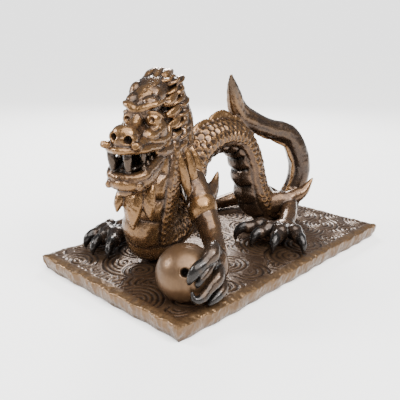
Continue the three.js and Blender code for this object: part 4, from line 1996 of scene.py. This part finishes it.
    def face(self) -> list[Shape]:
        """Makes brows, the scored forehead, lidded eyes and the folds of the cheeks.

        Returns:
            The shapes.
        """
        (ahead, _, up), radii = self.eye
        eyes = []
        for side, middle in zip((1, -1), self.eye_middles):
            eyes.append(egg((ahead, middle, up), radii, Tone.GOLD))
            for lid in self.lids:
                rows = [(f, middle + left * side, *rest) for f, left, *rest in lid]
                eyes.append(self.fold(rows, Tone.BRONZE))
        cheeks = self.both(self.cheek_fold, Tone.BRONZE)
        snarls = self.both(self.snarl_fold, Tone.GOLD)
        return [
            self.fold(self.brow, Tone.GOLD),
            self.fold(self.frown, Tone.BRONZE, relief=flutes(11, 0.4)),
            *(egg(*lump, Tone.MOTTLED) for lump in self.swells),
            egg(*self.smooth_swell),
            *eyes,
            *(fold for pair in zip(cheeks, snarls) for fold in pair),
            *(egg(*lump, Tone.BRONZE) for lump in self.nose_wings),
        ]

    def carve(self, thing: bpy.types.Object) -> None:
        """Pushes in the nostrils, the pupils and the dimples of the temples.

        Args:
            thing: the fused head.
        """
        turn = np.array(self.seat())[:3, :3]
        points = points_of(thing.data)
        for place, way, radius, depth in self.holes:
            centre = turn @ np.array(place, float) + self.place
            push = unit(turn @ np.array(way, float))
            off = points - centre
            along = off @ push
            across = np.linalg.norm(off - along[:, None] * push, axis=1) / radius
            well = depth * np.clip(1.15 - across, 0, 1) ** 0.6
            points += np.where(np.abs(along) < 4.5, well, 0)[:, None] * push
        put_points(thing.data, points)

    def mane(self) -> list[Shape]:
        """Makes horns, crown locks, stacked ears, cheek leaves, jowls and the whisker.

        Returns:
            The shapes.
        """
        ears = [
            self.both(
                [(front + f, left + k, up + u, *rest) for f, left, u, *rest in self.ear],
                Tone.GOLD if k == 1 else Tone.BRONZE,
                relief=flutes(5, 0.6),
            )
            for k, (front, up) in enumerate(self.ear_fronts)
        ]
        front, up = self.jowl_middle
        jowls = [
            self.both(
                [
                    (front + out * math.cos(lean), left, up + out * math.sin(lean), *rest)
                    for out, left, *rest in self.jowl
                ],
                relief=flutes(6, 0.6),
            )
            for lean in self.jowl_leans
        ]
        (ahead, left, high), radii = self.jowl_disc
        return [
            *self.both(self.horn, Tone.GOLD, relief=flutes(8, 0.7)),
            *self.both(self.crown, Tone.BRONZE, relief=flutes(5, 0.4)),
            *(pair[side] for side in (0, 1) for pair in ears),
            *self.both(self.leaf),
            *(pair[side] for side in (0, 1) for pair in jowls),
            *(egg((ahead, left * side, high), radii) for side in (1, -1)),
            self.fold(self.whisker, Tone.GOLD),
        ]

    def beard(self) -> list[Shape]:
        """Makes the beard's locks, in the dragon's frame.

        Returns:
            The locks.
        """
        made = []
        for root, tip, width, tone in self.beard_locks:
            root, tip = np.array(root, float), np.array(tip, float)
            rows = []
            for share, wide, thick in self.beard_taper:
                bow = self.beard_bow * math.sin(math.pi * share)
                rows.append((*(root + (tip - root) * share + [bow, 0, 0]), wide * width, thick))
            made.append(limb(rows, FORWARD, tone, spacing=0.7, relief=flutes(21, 0.5)))
        return made

    def shapes(self) -> list[Shape]:
        """Gathers the head's shapes, turned and put on the neck."""
        parts = [*self.skull(), *self.mouth(), *self.face(), *self.mane()]
        return [*(part.moved(self.seat()) for part in parts), *self.beard()]

    def seat(self) -> Matrix:
        """Gives the turn and the place of the head on the neck."""
        turn = Matrix.Rotation(math.radians(self.turn), 4, "Z")
        return Matrix.Translation(Vector(self.place)) @ turn


# ---- Pearl and slab ----


@dataclass
class Pearl(Piece):
    """The smooth ball under the left forefoot, with a small firing vent."""

    name: str = "pearl_ball"
    slot: Slot = Slot.PEARL
    stands_for: str = "pearl"
    glaze: LustreGlaze = PEARL_GLAZE
    vent_radius: float = 3.0
    vent_depth: float = 7.0
    vent_lip: float = 0.35
    vent: Row = (0.65, 0.63, 0.43)
    rings: int = 120
    sides: int = 180
    glaze_depth: float = 0.4

    def shape(self) -> Shape:
        """Makes the ball, standing on a small flat, with its vent pushed in.

        Returns:
            The ball, sooty inside its vent.
        """
        polar = np.linspace(0.02, math.pi - 0.02, self.rings)[::-1, None]
        angle = np.linspace(0, 2 * math.pi, self.sides, endpoint=False)[None]
        way = np.stack(
            [
                np.sin(polar) * np.cos(angle),
                np.sin(polar) * np.sin(angle),
                np.cos(polar) * np.ones_like(angle),
            ],
            -1,
        )
        vent = np.array(self.vent) / np.linalg.norm(self.vent)
        off = np.arccos(np.clip(way @ vent, -1, 1)) * PEARL_RADIUS / self.vent_radius
        push = self.vent_depth * np.clip(1.15 - off, 0, 1) ** 0.5
        lip = self.vent_lip * np.exp(-(((off - 1.35) / 0.3) ** 2))
        out = PEARL_RADIUS - push + lip
        points = np.array(PEARL_PLACE) + way * out[..., None]
        points[..., 2] = np.maximum(points[..., 2], TOUCH)
        made = skin(points, Tone.PLAIN)
        made.tones[:, 2] = np.append(np.clip(push / 4, 0, 1).ravel(), [0, 0])
        return made

    def build(self) -> bpy.types.Object:
        """Makes and dresses the pearl.

        Returns:
            The object.
        """
        thing = self.shape().mesh(self.name)
        depth = np.full(len(thing.data.vertices), self.glaze_depth)
        set_field(thing.data, "glaze_depth", depth)
        return self.dress(thing)


@dataclass
class Slab(Piece):
    """The slab, hand cut from rolled clay, its top engraved with curling water."""

    name: str = "slab_waves"
    slot: Slot = Slot.SLAB
    stands_for: str = "plinth"
    glaze: LustreGlaze = SLAB_GLAZE
    clay: Clay = Clay(0.82, 0)
    rough: HandWork = HandWork(lump=8, lump_height=1.7, grit=2.4, grit_height=0.9)
    length: float = 300.0
    width: float = 177.0
    thickness: float = 14.0
    cell: float = 0.82
    groove: float = 1.0  # how deep
    groove_half_width: float = 1.3
    line_pitch: float = 4.3
    swirl_pitch: float = 31.0
    border: float = 9.0  # the plain band along the edge
    rim_levels: int = 8
    rim_swell: float = 1.1
    seed: int = 3

    def inset(self, points: np.ndarray) -> np.ndarray:
        """Gives how far points lie inside the slab's straight edges."""
        half = np.array([self.length / 2, self.width / 2])
        return (half - np.abs(points[..., :2])).min(-1)

    def outline(self, gx: np.ndarray, gy: np.ndarray) -> np.ndarray:
        """Maps the unit square to the slab's wavering top.

        Args:
            gx: places along the slab, from -1 to 1.
            gy: places across it.

        Returns:
            Points of the top, lower towards the edge.
        """
        sx, sy = np.sign(gx), np.sign(gy)
        waver_x = 1.3 + 0.8 * np.sin(gy * 4.5 + sx) * np.cos(gy * 2.1 + 2)
        waver_y = 1.3 + 0.8 * np.sin(gx * 6.5 + sy) * np.cos(gx * 3.1 + 4)
        waver_x += 0.5 * np.sin(gy * 21 + 2 * sx)
        waver_y += 0.5 * np.sin(gx * 37 + 2 * sy)
        px = gx * (self.length / 2 - waver_x * np.abs(gx) ** 3)
        py = gy * (self.width / 2 - waver_y * np.abs(gy) ** 3)
        inset = self.inset(np.stack([px, py], -1))
        fall = -2.4 * np.clip(1 - inset / self.border, 0, 1) ** 2
        return np.stack([px, py, fall], -1)

    def shape(self) -> Shape:
        """Makes the slab with a rounded, torn rim and a dense top to engrave.

        Returns:
            The slab, sooty below.
        """
        nx, ny = int(self.length / self.cell), int(self.width / self.cell)
        gx, gy = np.meshgrid(np.linspace(-1, 1, nx + 1), np.linspace(-1, 1, ny + 1), indexing="ij")
        top = self.outline(gx, gy)
        n = (nx + 1) * (ny + 1)
        index = np.arange(n).reshape(nx + 1, ny + 1)
        a, b, c, d = index[:-1, :-1], index[1:, :-1], index[1:, 1:], index[:-1, 1:]
        faces = [np.stack([a, b, c, d], -1).reshape(-1, 4)]
        rim = np.concatenate([index[:-1, 0], index[-1, :-1], index[:0:-1, -1], index[0, :0:-1]])
        points = [top.reshape(-1, 3)]
        upper = points[0][rim]
        lower = upper * [0.982, 0.975, 0]
        lower[:, 2] = -self.thickness
        way = unit(upper * [1, 1, 0])
        previous, count = rim, n
        for level in range(1, self.rim_levels + 1):
            share = level / self.rim_levels
            swell = self.rim_swell * math.sin(math.pi * share)
            points.append(upper + (lower - upper) * share + way * swell)
            now = count + np.arange(len(rim))
            count += len(rim)
            faces.append(np.stack([np.roll(previous, -1), previous, now, np.roll(now, -1)], -1))
            previous = now
        points.append(np.array([[0, 0, -self.thickness]]))
        fan = np.stack([np.full(len(rim), count), np.roll(previous, -1), previous], -1)
        every = np.concatenate(points)
        tones = np.zeros((len(every), 3))
        tones[:, 1] = np.clip(1.25 - self.inset(every) / self.border, 0.25, 0.75)
        tones[every[:, 2] < -3] = (0.0, 0.0, 0.3)
        tones[every[:, 2] < -0.7 * self.thickness] = (0.1, 0.0, 0.45)
        return Shape(every, np.concatenate(faces), fan, tones)

    def swirls(self) -> tuple[np.ndarray, np.ndarray]:
        """Draws the water: overlapping swirls of arcs round scattered middles.

        Returns:
            Points of all lines, and the pairs of them that are joined.
        """
        chance = np.random.default_rng(self.seed)
        half_x, half_y = self.length / 2 - self.border, self.width / 2 - self.border
        columns = np.arange(-half_x, half_x + 1, self.swirl_pitch)
        rows = np.arange(-half_y, half_y + 1, self.swirl_pitch * 0.8)
        middles = np.array([(x, y) for x in columns for y in rows])
        middles += chance.uniform(-9, 9, middles.shape)
        middles = middles[chance.permutation(len(middles))]
        sizes = chance.uniform(0.75, 1.2, len(middles)) * self.swirl_pitch * 0.62
        turns = chance.uniform(0, 2 * math.pi, len(middles))
        squash = chance.uniform(0.7, 1.0, len(middles))
        points, pairs, total = [], [], 0
        for k, (middle, size, turn) in enumerate(zip(middles, sizes, turns)):
            cos, sin = math.cos(turn), math.sin(turn)
            for radius in np.arange(self.line_pitch * 0.6, size, self.line_pitch):
                angle = np.linspace(0, 2 * math.pi, max(int(radius * 4), 16))
                grow = 1 + 0.18 * angle / math.pi
                bend = np.stack([np.cos(angle), squash[k] * np.sin(angle)], -1)
                spin = np.array([[cos, sin], [-sin, cos]])
                line = middle + (bend * (radius * grow)[:, None]) @ spin
                later = np.linalg.norm(line[:, None] - middles[None, k + 1 :], axis=2)
                free = (later > sizes[None, k + 1 :] * 1.12).all(1)
                free &= (np.abs(line[:, 0]) < half_x) & (np.abs(line[:, 1]) < half_y)
                joined = np.nonzero(free[:-1] & free[1:])[0]
                points.append(line)
                pairs.append(np.stack([joined, joined + 1], -1) + total)
                total += len(line)
        flat = np.concatenate(points)
        return np.column_stack([flat, np.zeros(len(flat))]), np.concatenate(pairs)

    def engraver(self) -> bpy.types.NodeTree:
        """Builds the tree that presses grooves under drawn lines.

        Returns:
            The tree.
        """
        tree, start = geometry_tree(
            "engraved_water",
            {
                "Lines": "NodeSocketObject",
                "Half Width": "NodeSocketFloat",
                "Depth": "NodeSocketFloat",
                "Material": "NodeSocketMaterial",
            },
        )
        lines = add_node(tree, "GeometryNodeObjectInfo", links={"Object": start.outputs["Lines"]})
        near = add_node(
            tree,
            "GeometryNodeProximity",
            links={"Target": lines.outputs["Geometry"]},
            target_element="EDGES",
        )
        groove = add_node(
            tree,
            "ShaderNodeMapRange",
            {"From Min": 0.0, "To Max": 0.0},
            {
                "Value": near.outputs["Distance"],
                "From Max": start.outputs["Half Width"],
                "To Min": start.outputs["Depth"],
            },
            interpolation_type="SMOOTHSTEP",
        )
        worked = add_node(
            tree, "GeometryNodeInputNamedAttribute", {"Name": "top"}, data_type="FLOAT"
        )
        depth = add_node(
            tree,
            "ShaderNodeMath",
            links={0: groove.outputs[0], 1: worked.outputs[0]},
            operation="MULTIPLY",
        )
        offset = add_node(
            tree,
            "ShaderNodeVectorMath",
            {0: (0, 0, -1)},
            {"Scale": depth.outputs[0]},
            operation="SCALE",
        )
        moved = add_node(
            tree,
            "GeometryNodeSetPosition",
            links={"Geometry": start.outputs["Geometry"], "Offset": offset.outputs[0]},
        )
        close_tree(tree, start, moved.outputs[0])
        return tree

    def build(self) -> bpy.types.Object:
        """Makes, engraves, glazes and dresses the slab; the glaze paints shade into the grooves and
        highlight onto the ridges.

        Returns:
            The object.
        """
        shape = self.shape()
        thing = shape.mesh(self.name)
        points, pairs = self.swirls()
        lines_data = bpy.data.meshes.new("water_lines")
        raised = points * MM + np.array([0, 0, SLAB_TOP])
        lines_data.from_pydata(raised.tolist(), pairs.tolist(), [])
        lines = bpy.data.objects.new("water_lines", lines_data)
        bpy.context.scene.collection.objects.link(lines)
        set_field(thing.data, "top", (shape.points[:, 2] > -2.5).astype(float))
        run_tree(
            thing,
            self.engraver(),
            Lines=lines,
            Half_Width=self.groove_half_width * MM,
            Depth=self.groove * MM,
        )
        keep_result(thing)
        drop(lines)
        rim = np.clip(1.2 - self.inset(shape.points) / self.border, 0.25, 1)
        self.rough.done(thing, rim * (shape.points[:, 2] > 0.1 - self.thickness))
        placed = points_of(thing.data)
        placed[:, 2] = np.clip(placed[:, 2], -self.thickness, 0)
        put_points(thing.data, placed)
        return self.dress(self.clay.glazed_and_shaded(thing))


# ---- The studio ----


@dataclass
class Studio:
    """A pale floor, soft light and the camera."""

    paper: str = "fbfaf8"
    floor_half: float = 30.0
    room: tuple[str, float] = ("e8ecf2", 0.45)  # colour and strength
    backdrop: tuple[str, float] = ("f8f8f8", 2.6)
    sun: float = 8.4
    sun_angle: float = 70.0  # degrees across, for soft shadows
    sun_way: Row = (-0.3, -0.5, -1)
    boxes: tuple[tuple[str, Row, float], ...] = (
        ("key", (0.0, 0.95, 0.9), 12.0),
        ("window", (0.75, -0.7, 0.6), 13.0),
        ("rim", (-0.7, -0.7, 0.7), 13.0),
    )  # name, place and power
    box_size: float = 0.35
    box_aim: Row = (0, 0, 0.08)
    camera: Row = (0.3537, 0.2962, 0.1905)
    look_at: Row = (0.03923, 0.00163, 0.06075)
    roll: float = 0.93  # degrees
    lens: float = 44.93

    def floor(self) -> bpy.types.Object:
        """Lays the pale paper floor.

        Returns:
            The floor.
        """
        data = bpy.data.meshes.new("floor")
        r = self.floor_half
        data.from_pydata([(-r, -r, 0), (r, -r, 0), (r, r, 0), (-r, r, 0)], [], [(0, 1, 2, 3)])
        made = bpy.data.objects.new("floor", data)
        bpy.context.scene.collection.objects.link(made)
        made.location.z = CAD_LOW.z
        # Dull paper: pale all over, with hardly a highlight.
        paper = bpy.data.materials.new("matt backdrop paper")
        paper.use_nodes = True
        shader = paper.node_tree.nodes["Principled BSDF"]
        shader.inputs["Base Color"].default_value = linear(self.paper)
        shader.inputs["Roughness"].default_value = 0.9
        shader.inputs["Specular IOR Level"].default_value = 0.2
        data.materials.append(paper)
        return made

    def lights(self) -> None:
        """Hangs the soft boxes and sets the pale surroundings."""
        world = bpy.data.worlds.new("pale studio")
        bpy.context.scene.world = world
        world.use_nodes = True
        tree = world.node_tree
        tree.nodes.clear()
        room, paper = (
            add_node(tree, "ShaderNodeBackground", {"Color": linear(code), "Strength": strength})
            for code, strength in (self.room, self.backdrop)
        )
        seen = add_node(tree, "ShaderNodeLightPath").outputs["Is Camera Ray"]
        mixed = add_node(
            tree, "ShaderNodeMixShader", links={0: seen, 1: room.outputs[0], 2: paper.outputs[0]}
        )
        add_node(tree, "ShaderNodeOutputWorld", links={"Surface": mixed.outputs[0]})
        sky = bpy.data.lights.new("overhead", "SUN")
        sky.angle = math.radians(self.sun_angle)
        sky.energy = self.sun
        hung = bpy.data.objects.new("overhead", sky)
        hung.rotation_euler = Vector(self.sun_way).to_track_quat("-Z", "Y").to_euler()
        bpy.context.scene.collection.objects.link(hung)
        for name, place, power in self.boxes:
            light = bpy.data.lights.new(name, "AREA")
            light.shape = "SQUARE"
            light.size = self.box_size
            light.energy = power
            made = bpy.data.objects.new(name, light)
            made.location = place
            aim = Vector(self.box_aim) - Vector(place)
            made.rotation_euler = aim.to_track_quat("-Z", "Y").to_euler()
            bpy.context.scene.collection.objects.link(made)

    def shoot(self) -> None:
        """Sets up the camera."""
        data = bpy.data.cameras.new("camera")
        data.lens = self.lens
        data.sensor_width = 36
        made = bpy.data.objects.new("camera", data)
        bpy.context.scene.collection.objects.link(made)
        made.location = self.camera
        aim = Vector(self.look_at) - Vector(self.camera)
        turn = aim.to_track_quat("-Z", "Y").to_matrix().to_4x4()
        made.rotation_euler = (turn @ Matrix.Rotation(math.radians(self.roll), 4, "Z")).to_euler()
        bpy.context.scene.camera = made

    def build(self) -> None:
        """Sets the whole studio."""
        self.floor()
        self.lights()
        self.shoot()


# ---- Putting it together ----


def main() -> None:
    """Builds the sculpture and the studio."""
    logging.basicConfig(level=logging.INFO, format="%(message)s")
    for piece in (Trunk(), Legs(), Head(), Pearl(), Slab()):
        made = piece.build()
        triangles = sum(len(face.vertices) - 2 for face in made.data.polygons)
        LOG.info("%s: %d triangles", made.name, triangles)
    Studio().build()


if __name__ == "__main__":
    main()
